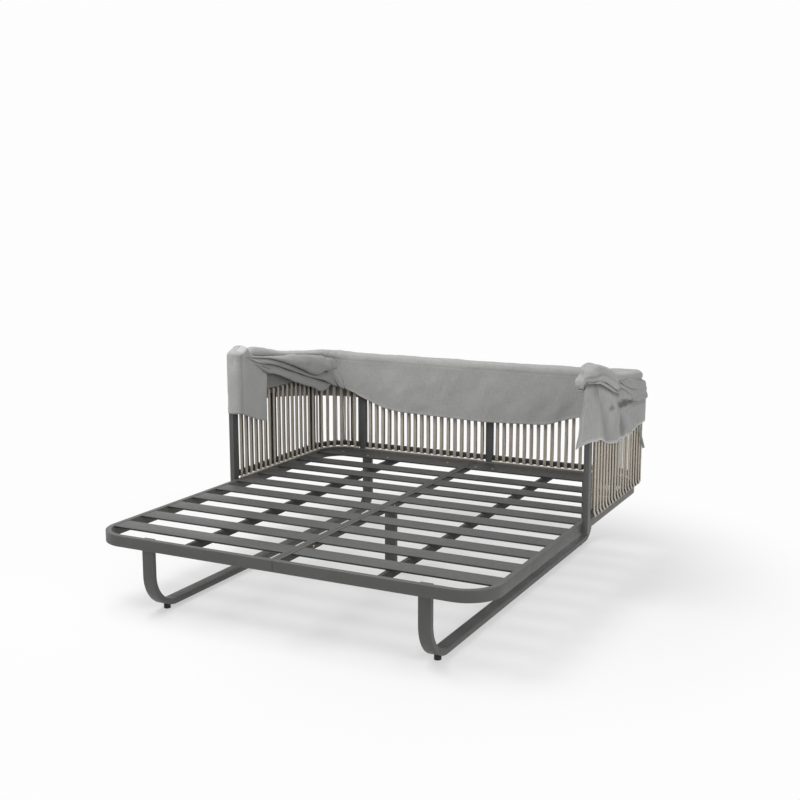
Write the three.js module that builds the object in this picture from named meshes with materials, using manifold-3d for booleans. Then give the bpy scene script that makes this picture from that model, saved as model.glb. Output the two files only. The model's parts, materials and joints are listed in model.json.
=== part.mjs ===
// An outdoor daybed: a slatted platform in two halves on sled legs, a rope-wound wall round three
// sides, and a canopy of three bows that lies folded back on the wall.
// Millimetres, +X to the right seen from the front, +Y to the rear, +Z up. The origin is on the
// floor under the centre leg.
import * as THREE from "three";
import { mergeVertices } from "three/addons/utils/BufferGeometryUtils.js";
import Module from "manifold-3d";

const wasm = await Module();
wasm.setup();

// Platform
const halfWidth = 940;
const depth = 2080;
const platformTop = 355;
const railHeight = 50;
const railWidth = 25;
const frontCornerRadius = 150;
const rearCornerRadius = 165;

// Clearances
const weldGap = 0.3; // between pieces that are welded or seated
const seamGap = 1; // between the two halves
const ropeGap = 0.6; // between a rope and the tube that it wraps
const boltGap = 0.2; // round a bolt in its hole
const bowGap = 0.6; // between bow legs, and to the post beside them

// Slats, the bars under them and the rear plates
const slatCount = 9;
const slatWidth = 100;
const slatThickness = 8;
const slatInset = 1.5; // below the top of the rails
const firstSlatRear = 221;
const lastSlatFromRear = 323; // from its rear edge to the platform's rear face
const seamRailWidth = 20;
const seamRailHeight = 30;
const midBarWidth = 20;
const midBarHeight = 37;
const midBarX = 462;
const backPlateDepth = 173;

// Legs
const legBarWidth = 55;
const legBarThickness = 26;
const sledOuterX = 690.5;
const sledFrontBend = 165;
const sledRearBend = 105;
const sledStepDepth = 10; // of the step at an upright's top that meets the rail
const sledStepHeight = 35;
const glideHeight = 14;
const glideRadius = 15;
const glideFromFront = 160;
const glideFromRear = 170;
const centreLegFrontY = 1031;

// Wall of tubes and ropes round the arms and the back
const wallTube = 25;
const bottomRailLift = 9.5; // above the platform
const topRailTop = 782;
const frontPostDepth = 40;
const frontPostFrontY = 1090;
const frontPostTop = 1000;
const backPostWidth = 40;
const backPostFromCorner = 53; // from the end of the wall's bend
const backMiddlePostX = 75;
const thinPost = 20;
const thinPostShares = [0.465, 0.955]; // of the straight run of an arm

// Rope windings: each band is three ropes laid side by side
const bandWidth = 18;
const bandThickness = 5;
const bandBend = 2; // cut off each bend over the top rail
const bandTailStep = 20; // from the last loop to the tied-off end
const bandTailRoom = 30; // from the last loop to the post
const armLoops = 24;
const backLeftLoops = 18;
const backRightLoops = 15;

// Canopy bows
const pivotZ = 985;
const boltRadius = 5;
const boltHeadRadius = 11;
const boltHeadThickness = 6;
const nutThickness = 8;
const bowThickness = 12;
const bowHeight = 25;
const bowNose = 20; // from the pivot to a leg's end
const bowCornerRadius = 180;
const barAheadOfWall = 7.8; // from the wall's middle line forward to the bows' bars
const bowRestLift = 14; // from the ropes' top to the rear bow's middle
const frontBarZ = 899;

// Canopy fabric
const clothThickness = 4;
const clothDrop = 300; // how far the folded fabric hangs below the front bow, at its lowest
const clothShoulder = 40; // height of the rounded top over the bow legs
const clothFoldDepth = 24; // how far the side folds bulge towards the seat
const clothCreaseDepth = 6; // how far the hanging creases stand out
const clothCreaseLength = 80; // from one crease to the next on the outside of the arms
const clothFrontGap = 12; // from the post's front to the fabric before it
const clothOuterOffset = 50; // from the front bow's legs to the fabric outside the arms
const skirtTop = 862;

// What follows from the sizes above
const mergeDistance = 1e-3;
const curveSteps = 10;
const railBottom = platformTop - railHeight;
const railInnerX = halfWidth - railWidth;
const rearRailInnerY = depth - railWidth;
const slatTop = platformTop - slatInset;
const slatBottom = slatTop - slatThickness;
const slatPitch = (depth - lastSlatFromRear - firstSlatRear) / (slatCount - 1);
const backPlateFront = rearRailInnerY - backPlateDepth;
const seamX = seamGap / 2;
const seamRailOuterX = seamX + seamRailWidth;
const wallX = halfWidth + weldGap + wallTube / 2;
const wallY = depth + weldGap + wallTube / 2;
const wallCornerRadius = rearCornerRadius + weldGap + wallTube / 2;
const wallCornerX = wallX - wallCornerRadius;
const wallCornerY = wallY - wallCornerRadius;
const bottomRailBottom = platformTop + bottomRailLift;
const bottomRailTop = bottomRailBottom + wallTube;
const topRailBottom = topRailTop - wallTube;
const armStartY = frontPostFrontY + frontPostDepth + weldGap;
const backPostFrontY = depth + weldGap;
const backPostX = wallCornerX - backPostFromCorner;
const backPostXs = [-backPostX, backMiddlePostX, backPostX];
const bandOffset = wallTube / 2 + ropeGap + bandThickness / 2;
const ropeTop = topRailTop + ropeGap + bandThickness;
const postInnerX = halfWidth + weldGap;
const pivotY = frontPostFrontY + frontPostDepth / 2;
const bowBarY = wallY - barAheadOfWall;
const bowLegStep = bowThickness + bowGap;
const frontBowX = postInnerX - bowGap - bowThickness / 2;
const rearBarZ = ropeTop + bowRestLift;
const centreLegY = centreLegFrontY + legBarThickness / 2;
const nutX = frontBowX - 2 * bowLegStep - bowThickness / 2 - bowGap;
const clothInnerOffset = frontBowX - nutX + nutThickness + weldGap + clothThickness / 2;
const clothRidgeFrontY = pivotY - boltHeadRadius - clothThickness / 2;
const clothFrontReach = clothRidgeFrontY - frontPostFrontY + clothFrontGap;
const canopyCornerRadius = bowCornerRadius - bowThickness / 2;
const canopyCornerX = frontBowX - canopyCornerRadius;
const canopyCornerY = bowBarY - canopyCornerRadius;
const canopyReach = bowBarY - pivotY;

const metal = () => new THREE.MeshStandardMaterial({ color: 0x5d5c5a, roughness: 0.55, metalness: 0.35 });
const rubber = () => new THREE.MeshStandardMaterial({ color: 0x1c1c1c, roughness: 0.8, metalness: 0 });
const rope = () => new THREE.MeshStandardMaterial({ color: 0xc4b9a8, roughness: 0.9, metalness: 0 });
const brass = () => new THREE.MeshStandardMaterial({ color: 0xb08d4c, roughness: 0.4, metalness: 0.9 });
const cloth = () => new THREE.MeshStandardMaterial({ color: 0x90908e, roughness: 0.95, metalness: 0 });

const daybed = new THREE.Group();

function add(name, geometry, material, side = 1) {
  const mesh = new THREE.Mesh(geometry, material);
  mesh.name = name;
  mesh.scale.x = side;
  daybed.add(mesh);
  return mesh;
}

// Adds a piece on the right and its mirror image on the left.
function addPair(name, geometry, material) {
  add("right_" + name, geometry, material(), 1);
  add("left_" + name, geometry, material(), -1);
}

function box(low, high) {
  const geometry = new THREE.BoxGeometry(high[0] - low[0], high[1] - low[1], high[2] - low[2]);
  geometry.translate((low[0] + high[0]) / 2, (low[1] + high[1]) / 2, (low[2] + high[2]) / 2);
  return geometry;
}

function slab(shape, bottom, top) {
  const geometry = new THREE.ExtrudeGeometry(shape, {
    depth: top - bottom,
    bevelEnabled: false,
    curveSegments: curveSteps,
  });
  geometry.translate(0, 0, bottom);
  return geometry;
}

// Turns an outline drawn in Y and Z, extruded upwards, so that it runs along X.
function layAlongX(geometry) {
  const turn = new THREE.Matrix4().makeBasis(
    new THREE.Vector3(0, 1, 0),
    new THREE.Vector3(0, 0, 1),
    new THREE.Vector3(1, 0, 0),
  );
  geometry.applyMatrix4(turn);
  return geometry;
}

function toSolid(geometry) {
  const bare = geometry.clone();
  bare.deleteAttribute("normal");
  bare.deleteAttribute("uv");
  const merged = mergeVertices(bare, mergeDistance);
  const mesh = new wasm.Mesh({
    numProp: 3,
    vertProperties: merged.attributes.position.array,
    triVerts: new Uint32Array(merged.index.array),
  });
  return new wasm.Manifold(mesh);
}

function fromSolid(solid) {
  const mesh = solid.getMesh();
  const geometry = new THREE.BufferGeometry();
  geometry.setAttribute("position", new THREE.BufferAttribute(mesh.vertProperties, 3));
  geometry.setIndex(new THREE.BufferAttribute(mesh.triVerts, 1));
  geometry.computeVertexNormals();
  return geometry;
}

// Cuts a round hole along X through a piece.
function drillX(geometry, radius, fromX, toX, y, z) {
  const sides = 20;
  const drill = new THREE.CylinderGeometry(radius, radius, toX - fromX, sides);
  drill.rotateZ(Math.PI / 2);
  drill.translate((fromX + toX) / 2, y, z);
  return fromSolid(toSolid(geometry).subtract(toSolid(drill)));
}

// Half of the platform's outer rail in plan, open at the seam.
function outerRailOutline() {
  const frontX = halfWidth - frontCornerRadius;
  const rearX = halfWidth - rearCornerRadius;
  const rearY = depth - rearCornerRadius;
  const quarter = Math.PI / 2;
  const shape = new THREE.Shape();
  shape.moveTo(seamX, 0);
  shape.lineTo(frontX, 0);
  shape.absarc(frontX, frontCornerRadius, frontCornerRadius, -quarter, 0, false);
  shape.absarc(rearX, rearY, rearCornerRadius, 0, quarter, false);
  shape.lineTo(seamX, depth);
  shape.lineTo(seamX, rearRailInnerY);
  shape.absarc(rearX, rearY, rearCornerRadius - railWidth, quarter, 0, true);
  shape.absarc(frontX, frontCornerRadius, frontCornerRadius - railWidth, 0, -quarter, true);
  shape.lineTo(seamX, railWidth);
  return shape;
}

function addPlatformFrames() {
  addPair("outer_rail", slab(outerRailOutline(), railBottom, platformTop), metal);
  const barFront = railWidth + weldGap;
  const barRear = rearRailInnerY - weldGap;
  addPair(
    "seam_rail",
    box([seamX, barFront, platformTop - seamRailHeight], [seamRailOuterX, barRear, platformTop]),
    metal,
  );
  const midBarTop = slatBottom - weldGap;
  addPair(
    "mid_bar",
    box(
      [midBarX - midBarWidth / 2, barFront, midBarTop - midBarHeight],
      [midBarX + midBarWidth / 2, barRear, midBarTop],
    ),
    metal,
  );
}

// A slat in plan. Its outer end follows the rail where that bends round the front corner.
function slatOutline(rear) {
  const front = rear - slatWidth;
  const bendX = halfWidth - frontCornerRadius;
  const endRadius = frontCornerRadius - railWidth - weldGap;
  const intoBend = Math.max(0, frontCornerRadius - front);
  const endAngle = Math.asin(intoBend / endRadius);
  const shape = new THREE.Shape();
  shape.moveTo(seamRailOuterX + weldGap, front);
  shape.lineTo(bendX + endRadius * Math.cos(endAngle), front);
  if (intoBend > 0) shape.absarc(bendX, frontCornerRadius, endRadius, -endAngle, 0, false);
  shape.lineTo(railInnerX - weldGap, rear);
  shape.lineTo(seamRailOuterX + weldGap, rear);
  return shape;
}

function addSlats() {
  for (let i = 0; i < slatCount; i++) {
    const rear = firstSlatRear + i * slatPitch;
    addPair("slat_" + (i + 1), slab(slatOutline(rear), slatBottom, slatTop), metal);
  }
}

function addBackPlates() {
  const radius = rearCornerRadius - railWidth - weldGap;
  const cornerX = halfWidth - rearCornerRadius;
  const cornerY = depth - rearCornerRadius;
  const shape = new THREE.Shape();
  shape.moveTo(seamRailOuterX + weldGap, backPlateFront);
  shape.lineTo(railInnerX - weldGap, backPlateFront);
  shape.absarc(cornerX, cornerY, radius, 0, Math.PI / 2, false);
  shape.lineTo(seamRailOuterX + weldGap, rearRailInnerY - weldGap);
  addPair("back_plate", slab(shape, slatBottom, slatTop), metal);
}

// A sled seen from the side: front upright, floor runner and rear upright, bent from one bar. Each
// upright has a step at its top that meets the rail. spare is left free all round.
function sledOutline(spare) {
  const front = railWidth + weldGap + sledStepDepth - spare;
  const rear = rearRailInnerY - weldGap - sledStepDepth + spare;
  const top = slatBottom - weldGap;
  const stepBottom = top - sledStepHeight;
  const thickness = legBarThickness + 2 * spare;
  const frontBend = sledFrontBend + spare;
  const rearBend = sledRearBend + spare;
  const floor = glideHeight - spare;
  const down = Math.PI + Math.PI / 2;
  const shape = new THREE.Shape();
  shape.moveTo(front - sledStepDepth, top);
  shape.lineTo(front - sledStepDepth, stepBottom);
  shape.lineTo(front, stepBottom);
  shape.absarc(front + frontBend, floor + frontBend, frontBend, Math.PI, down, false);
  shape.absarc(rear - rearBend, floor + rearBend, rearBend, down, 2 * Math.PI, false);
  shape.lineTo(rear, stepBottom);
  shape.lineTo(rear + sledStepDepth, stepBottom);
  shape.lineTo(rear + sledStepDepth, top);
  shape.lineTo(rear - thickness, top);
  shape.absarc(rear - rearBend, floor + rearBend, rearBend - thickness, 2 * Math.PI, down, true);
  shape.absarc(front + frontBend, floor + frontBend, frontBend - thickness, down, Math.PI, true);
  shape.lineTo(front + thickness, top);
  return shape;
}

function layOnSide(outline) {
  return layAlongX(slab(outline, sledOuterX - legBarWidth, sledOuterX));
}

// A rubber foot under a bend of the sled, with its top cut to the bend.
function glide(y) {
  const sides = 20;
  const height = glideHeight + legBarThickness / 2;
  const foot = new THREE.CylinderGeometry(glideRadius, glideRadius, height, sides);
  foot.rotateX(Math.PI / 2);
  foot.translate(sledOuterX - legBarWidth / 2, y, height / 2);
  return fromSolid(toSolid(foot).subtract(toSolid(layOnSide(sledOutline(weldGap)))));
}

function addLegs() {
  addPair("sled", layOnSide(sledOutline(0)), metal);
  addPair("front_glide", glide(glideFromFront), rubber);
  addPair("rear_glide", glide(depth - glideFromRear), rubber);
  const legTop = platformTop - seamRailHeight - weldGap;
  const bar = box(
    [-legBarWidth / 2, centreLegFrontY, glideHeight],
    [legBarWidth / 2, centreLegFrontY + legBarThickness, legTop],
  );
  const sides = 20;
  const footRadius = legBarThickness / 2;
  const foot = new THREE.CylinderGeometry(footRadius, footRadius, glideHeight * 2, sides);
  foot.rotateX(Math.PI / 2);
  foot.translate(0, centreLegY, glideHeight);
  add("centre_leg", fromSolid(toSolid(bar).add(toSolid(foot))), metal());
}

// The wall's middle line in plan, from the right front post back, round the corner and along the
// back towards the left. angle is the direction in which the wall faces outwards.
function wallPoint(distance) {
  const straight = wallCornerY - armStartY;
  const arc = (wallCornerRadius * Math.PI) / 2;
  if (distance < straight) return { x: wallX, y: armStartY + distance, angle: 0 };
  if (distance < straight + arc) {
    const angle = (distance - straight) / wallCornerRadius;
    return {
      x: wallCornerX + wallCornerRadius * Math.cos(angle),
      y: wallCornerY + wallCornerRadius * Math.sin(angle),
      angle,
    };
  }
  return { x: wallCornerX - (distance - straight - arc), y: wallY, angle: Math.PI / 2 };
}

// Distance along the wall's middle line of a place X on the back.
function backDistance(x) {
  return wallCornerY - armStartY + (wallCornerRadius * Math.PI) / 2 + wallCornerX - x;
}

// A stretch of wall tube in plan, from the right arm's front end round the corner to endX.
function armTubeOutline(endX) {
  const outer = wallCornerRadius + wallTube / 2;
  const inner = wallCornerRadius - wallTube / 2;
  const quarter = Math.PI / 2;
  const shape = new THREE.Shape();
  shape.moveTo(wallX + wallTube / 2, armStartY);
  shape.lineTo(wallX + wallTube / 2, wallCornerY);
  shape.absarc(wallCornerX, wallCornerY, outer, 0, quarter, false);
  shape.lineTo(endX, wallY + wallTube / 2);
  shape.lineTo(endX, wallY - wallTube / 2);
  shape.absarc(wallCornerX, wallCornerY, inner, quarter, 0, true);
  shape.lineTo(wallX - wallTube / 2, armStartY);
  return shape;
}

function topRailOutline() {
  const outer = wallCornerRadius + wallTube / 2;
  const inner = wallCornerRadius - wallTube / 2;
  const quarter = Math.PI / 2;
  const shape = new THREE.Shape();
  shape.moveTo(wallX + wallTube / 2, armStartY);
  shape.lineTo(wallX + wallTube / 2, wallCornerY);
  shape.absarc(wallCornerX, wallCornerY, outer, 0, quarter, false);
  shape.absarc(-wallCornerX, wallCornerY, outer, quarter, Math.PI, false);
  shape.lineTo(-wallX - wallTube / 2, armStartY);
  shape.lineTo(-wallX + wallTube / 2, armStartY);
  shape.absarc(-wallCornerX, wallCornerY, inner, Math.PI, quarter, true);
  shape.absarc(wallCornerX, wallCornerY, inner, quarter, 0, true);
  shape.lineTo(wallX - wallTube / 2, armStartY);
  return shape;
}

function addWallRails() {
  const [leftX, middleX, rightX] = backPostXs;
  const half = backPostWidth / 2 + weldGap;
  add("wall_top_rail", slab(topRailOutline(), topRailBottom, topRailTop), metal());
  addPair("arm_bottom_rail", slab(armTubeOutline(rightX + half), bottomRailBottom, bottomRailTop), metal);
  const backRail = (fromX, toX) =>
    box(
      [fromX + half, wallY - wallTube / 2, bottomRailBottom],
      [toX - half, wallY + wallTube / 2, bottomRailTop],
    );
  add("back_left_bottom_rail", backRail(leftX, middleX), metal());
  add("back_right_bottom_rail", backRail(middleX, rightX), metal());
}

function addPosts() {
  const frontPost = box(
    [postInnerX, frontPostFrontY, railBottom],
    [postInnerX + wallTube, frontPostFrontY + frontPostDepth, frontPostTop],
  );
  const overrun = wallTube;
  const drilled = drillX(
    frontPost,
    boltRadius + boltGap,
    postInnerX - overrun,
    postInnerX + wallTube + overrun,
    pivotY,
    pivotZ,
  );
  addPair("front_post", drilled, metal);
  const names = ["back_left_post", "back_middle_post", "back_right_post"];
  backPostXs.forEach((x, i) => {
    const post = box(
      [x - backPostWidth / 2, backPostFrontY, railBottom],
      [x + backPostWidth / 2, backPostFrontY + wallTube, topRailBottom - weldGap],
    );
    add(names[i], post, metal());
  });
  thinPostShares.forEach((share, i) => {
    const y = armStartY + (wallCornerY - armStartY) * share;
    const post = box(
      [wallX - thinPost / 2, y - thinPost / 2, bottomRailTop + weldGap],
      [wallX + thinPost / 2, y + thinPost / 2, topRailBottom - weldGap],
    );
    addPair("thin_post_" + (i + 1), post, metal);
  });
}

// One section of a rope band: where its middle is, and half of its width and of its thickness.
function bandSection(distance, out, z, thickOut, thickUp) {
  const at = wallPoint(distance);
  const outward = new THREE.Vector3(Math.cos(at.angle), Math.sin(at.angle), 0);
  const along = new THREE.Vector3(-Math.sin(at.angle), Math.cos(at.angle), 0);
  const middle = new THREE.Vector3(at.x, at.y, z).addScaledVector(outward, out);
  const wide = along.multiplyScalar(bandWidth / 2);
  const half = bandThickness / 2;
  const thick = outward.clone().multiplyScalar(thickOut * half);
  thick.z = thickUp * half;
  return [
    middle.clone().add(wide).add(thick),
    middle.clone().sub(wide).add(thick),
    middle.clone().sub(wide).sub(thick),
    middle.clone().add(wide).sub(thick),
  ];
}

// The sections of a band wound round the top and the bottom rail, from post to post.
function bandSections(start, end, loops) {
  const pitch = (end - start - bandTailRoom) / (loops - 0.5);
  const lowZ = bottomRailBottom - ropeGap - bandThickness / 2;
  const topZ = topRailTop + ropeGap + bandThickness / 2;
  const highZ = topZ - bandBend;
  const topOut = bandOffset - bandBend;
  const endZ = platformTop + weldGap;
  const miter = Math.tan(Math.PI / 8);
  const sections = [];
  for (let i = 0; i < loops; i++) {
    const s = start + pitch * (i + 0.5);
    if (i === 0) sections.push(bandSection(s, -bandOffset, endZ, -1, 0));
    else sections.push(bandSection(s, -bandOffset, lowZ, -1, -1));
    sections.push(bandSection(s, -bandOffset, highZ, -1, miter));
    sections.push(bandSection(s, -topOut, topZ, -miter, 1));
    sections.push(bandSection(s, topOut, topZ, miter, 1));
    sections.push(bandSection(s, bandOffset, highZ, 1, miter));
    sections.push(bandSection(s, bandOffset, lowZ, 1, -1));
  }
  const tail = start + pitch * (loops - 0.5) + bandTailStep;
  sections.push(bandSection(tail, -bandOffset, lowZ, 1, -1));
  sections.push(bandSection(tail, -bandOffset, endZ, 1, 0));
  return sections;
}

// A closed tube through four-sided sections.
function tubeThrough(sections) {
  const positions = sections.flatMap((section) => section.flatMap((p) => [p.x, p.y, p.z]));
  const index = [];
  for (let i = 0; i + 1 < sections.length; i++)
    for (let k = 0; k < 4; k++) {
      const a = 4 * i + k;
      const b = 4 * i + ((k + 1) % 4);
      index.push(a, b, b + 4, a, b + 4, a + 4);
    }
  const last = 4 * (sections.length - 1);
  index.push(0, 2, 1, 0, 3, 2);
  index.push(last, last + 1, last + 2, last, last + 2, last + 3);
  const geometry = new THREE.BufferGeometry();
  geometry.setAttribute("position", new THREE.Float32BufferAttribute(positions, 3));
  geometry.setIndex(index);
  geometry.computeVertexNormals();
  return geometry;
}

// The least distance between points of stretches of a band that don't follow each other.
function leastGap(sections) {
  const samples = 6;
  const near = 14; // stretches in two loops and a bit
  const points = sections.slice(1).map((section, i) => {
    const list = [];
    for (let k = 0; k < 4; k++)
      for (let j = 0; j <= samples; j++) list.push(section[k].clone().lerp(sections[i][k], j / samples));
    return list;
  });
  let least = Infinity;
  for (let i = 0; i < points.length; i++)
    for (let k = i + 2; k < Math.min(points.length, i + near); k++)
      for (const p of points[i]) for (const q of points[k]) least = Math.min(least, p.distanceTo(q));
  return least;
}

function addWinding(names, start, end, loops, sides) {
  const sections = bandSections(start, end, loops);
  const geometry = tubeThrough(sections);
  names.forEach((name, i) => add(name, geometry, rope(), sides[i]));
  console.log(names[0] + " least gap to itself " + leastGap(sections).toFixed(2) + " mm");
}

function addWindings() {
  const [leftX, middleX, rightX] = backPostXs;
  const half = backPostWidth / 2;
  addWinding(["right_arm_ropes", "left_arm_ropes"], 0, backDistance(rightX + half), armLoops, [1, -1]);
  addWinding(
    ["back_right_ropes"],
    backDistance(rightX - half),
    backDistance(middleX + half),
    backRightLoops,
    [1],
  );
  addWinding(
    ["back_left_ropes"],
    backDistance(middleX - half),
    backDistance(leftX + half),
    backLeftLoops,
    [1],
  );
}

// A bow lying flat with its pivot at the origin: two legs and a bar across their far ends.
function bowOutline(legX, reach) {
  const outer = legX + bowThickness / 2;
  const inner = legX - bowThickness / 2;
  const far = reach + bowThickness / 2;
  const cornerX = outer - bowCornerRadius;
  const cornerY = far - bowCornerRadius;
  const innerRadius = bowCornerRadius - bowThickness;
  const quarter = Math.PI / 2;
  const shape = new THREE.Shape();
  shape.moveTo(outer, -bowNose);
  shape.lineTo(outer, cornerY);
  shape.absarc(cornerX, cornerY, bowCornerRadius, 0, quarter, false);
  shape.absarc(-cornerX, cornerY, bowCornerRadius, quarter, Math.PI, false);
  shape.lineTo(-outer, -bowNose);
  shape.lineTo(-inner, -bowNose);
  shape.absarc(-cornerX, cornerY, innerRadius, Math.PI, quarter, true);
  shape.absarc(cornerX, cornerY, innerRadius, quarter, 0, true);
  shape.lineTo(inner, -bowNose);
  return shape;
}

function addBow(name, legX, barZ) {
  const reach = Math.hypot(bowBarY - pivotY, pivotZ - barZ);
  const flat = slab(bowOutline(legX, reach), -bowHeight / 2, bowHeight / 2);
  const wide = legX + bowThickness;
  const geometry = drillX(flat, boltRadius + boltGap, -wide, wide, 0, 0);
  const mesh = add(name, geometry, metal());
  mesh.position.set(0, pivotY, pivotZ);
  mesh.rotation.x = -Math.atan2(pivotZ - barZ, bowBarY - pivotY);
}

function addPivotBolts() {
  const sides = 20;
  const headX = postInnerX + wallTube + weldGap;
  const profile = [
    [0, nutX - nutThickness],
    [boltHeadRadius, nutX - nutThickness],
    [boltHeadRadius, nutX],
    [boltRadius, nutX],
    [boltRadius, headX],
    [boltHeadRadius, headX],
    [boltHeadRadius, headX + boltHeadThickness],
    [0, headX + boltHeadThickness],
  ].map(([r, x]) => new THREE.Vector2(r, x));
  const bolt = new THREE.LatheGeometry(profile, sides);
  bolt.rotateZ(-Math.PI / 2);
  bolt.translate(0, pivotY, pivotZ);
  addPair("pivot_bolt", bolt, brass);
}

function addBows() {
  addBow("front_bow", frontBowX, frontBarZ);
  addBow("middle_bow", frontBowX - bowLegStep, (frontBarZ + rearBarZ) / 2);
  addBow("rear_bow", frontBowX - 2 * bowLegStep, rearBarZ);
  addPivotBolts();
}

// Heights of the folded fabric, as pairs of shares: how far along the reach of the bows, and how
// far above the front bow in shares of the fabric's drop.
const rightSideShares = {
  ridge: [[0, 0.27], [0.05, 0.31], [0.14, 0.21], [0.35, 0.09], [0.7, 0.085], [1.1, 0.07]],
  outerEdge: [[0, -0.83], [0.13, -0.89], [0.24, -0.96], [0.45, -0.93], [0.78, -0.79], [1.1, -0.85]],
  innerEdge: [[0, -1], [0.1, -0.5], [1.1, -0.62]],
  fold: [[0, 0], [0.1, 0.2], [1.1, 0.4]],
};
const leftSideShares = {
  ridge: [[0, 0.17], [0.04, 0.22], [0.22, 0.18], [0.48, 0.09], [1.1, 0.07]],
  outerEdge: [[0, -0.93], [0.3, -0.86], [0.6, -0.84], [1.1, -0.85]],
  innerEdge: [[0, -0.94], [0.15, -1.06], [0.21, -1.09], [0.25, -0.51], [0.6, -0.49], [0.91, -0.71], [1.1, -0.66]],
  fold: [[0, 0], [0.22, 0], [0.32, 1], [0.9, 0.7], [1.1, 0.3]],
};
// Levels of a side's rows between its lower edge and its shoulder, and how far each one bulges.
const foldLevelShares = [0, 0.1, 0.36, 0.45, 0.7, 0.79, 1];
const foldBulgeShares = [0.5, 1, 0, 0.9, 0, 0.7, 0];
// Across the roof panel over the back: how far out from the bar and how far up, in shares of the
// bow's height, and then the rows of the drape in shares of its length.
const roofRollShares = [[0.9, -1.4], [1.1, -0.4], [0.8, 0.45], [0.32, 0.62], [-0.32, 0.62], [-0.96, 0.3],
  [-1.2, -0.4], [-0.9, -1.24]];
const roofDrapeShares = [0.12, 0.4, 0.7, 1];
const roofDrapeOutShare = -1.5;
const roofEdgeShares = [[-1, -0.68], [-0.86, -0.86], [-0.73, -0.97], [-0.45, -1.03], [0.1, -1.06],
  [0.5, -1.02], [0.67, -0.9], [0.8, -0.82], [1, -0.7]];
const skirtEdgeShares = [[-1, -0.82], [-0.4, -0.78], [0.3, -0.8], [1, -0.85]];

// The height at a place between the points of a table.
function between(table, at) {
  for (let i = 1; i < table.length; i++) {
    const [x0, y0] = table[i - 1];
    const [x1, y1] = table[i];
    if (at <= x1) return y0 + ((y1 - y0) * (Math.max(at, x0) - x0)) / (x1 - x0);
  }
  return table[table.length - 1][1];
}

function frontBowHeight(y) {
  return pivotZ - ((pivotZ - frontBarZ) * (y - pivotY)) / canopyReach;
}

// The front bow's right leg in plan, from its pivot back and round its corner.
function canopyPoint(distance) {
  const straight = canopyCornerY - pivotY;
  const angle = Math.max(0, distance - straight) / canopyCornerRadius;
  return {
    x: canopyCornerX + canopyCornerRadius * Math.cos(angle),
    y: Math.min(pivotY + distance, canopyCornerY) + canopyCornerRadius * Math.sin(angle),
    angle,
  };
}

// A closed sheet of cloth whose middle surface runs through rows of points, each from the lower
// edge upwards. With a ridge, the rows of one half meet those of the other at their last points.
function clothSheet(rows, ridge) {
  const last = rows.length - 1;
  const top = rows[0].length - 1;
  const normal = (i, j) => {
    if (ridge && j === top) return new THREE.Vector3(0, 0, 1);
    const along = rows[Math.min(i + 1, last)][j].clone().sub(rows[Math.max(i - 1, 0)][j]);
    const up = rows[i][Math.min(j + 1, top)].clone().sub(rows[i][Math.max(j - 1, 0)]);
    return up.cross(along).normalize();
  };
  const sides = [clothThickness / 2, -clothThickness / 2].map((shift) =>
    rows.map((row, i) => row.map((point, j) => point.clone().addScaledVector(normal(i, j), shift))),
  );
  const [outer, inner] = sides;
  const triangles = [];
  const quad = (a, b, c, d) => triangles.push(a, b, c, a, c, d);
  for (let i = 0; i < last; i++)
    for (let j = 0; j < top; j++) {
      quad(outer[i][j], outer[i][j + 1], outer[i + 1][j + 1], outer[i + 1][j]);
      quad(inner[i][j], inner[i + 1][j], inner[i + 1][j + 1], inner[i][j + 1]);
    }
  for (let i = 0; i < last; i++) {
    quad(outer[i][0], outer[i + 1][0], inner[i + 1][0], inner[i][0]);
    if (!ridge) quad(outer[i + 1][top], outer[i][top], inner[i][top], inner[i + 1][top]);
  }
  for (let j = 0; j < top; j++) {
    quad(outer[0][j + 1], outer[0][j], inner[0][j], inner[0][j + 1]);
    quad(outer[last][j], outer[last][j + 1], inner[last][j + 1], inner[last][j]);
  }
  const loose = new THREE.BufferGeometry().setFromPoints(triangles);
  const merged = mergeVertices(loose, mergeDistance);
  const kept = [];
  for (let i = 0; i < merged.index.count; i += 3) {
    const [a, b, c] = [0, 1, 2].map((k) => merged.index.getX(i + k));
    if (a !== b && b !== c && c !== a) kept.push(a, b, c);
  }
  merged.setIndex(kept);
  merged.computeVertexNormals();
  return merged;
}

// One row of a side's fabric, from its lower edge up to the ridge over the bow legs.
function sideRow(foot, ridge, edgeZ, fold) {
  const row = [];
  const shoulderZ = ridge.z - clothShoulder;
  const out = foot.clone().sub(ridge).setZ(0);
  const reach = out.length();
  out.normalize();
  foldLevelShares.forEach((level, j) => {
    const bulge = fold * clothFoldDepth * foldBulgeShares[j];
    const point = ridge.clone().addScaledVector(out, reach + bulge);
    point.z = edgeZ + (shoulderZ - edgeZ) * level;
    row.push(point);
  });
  const steps = 3;
  for (let k = 1; k <= steps; k++) {
    const turn = (Math.PI / 2) * (k / steps);
    const point = ridge.clone().addScaledVector(out, reach * Math.cos(turn));
    point.z = shoulderZ + clothShoulder * Math.sin(turn);
    row.push(k === steps ? ridge.clone() : point);
  }
  return row;
}

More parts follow.
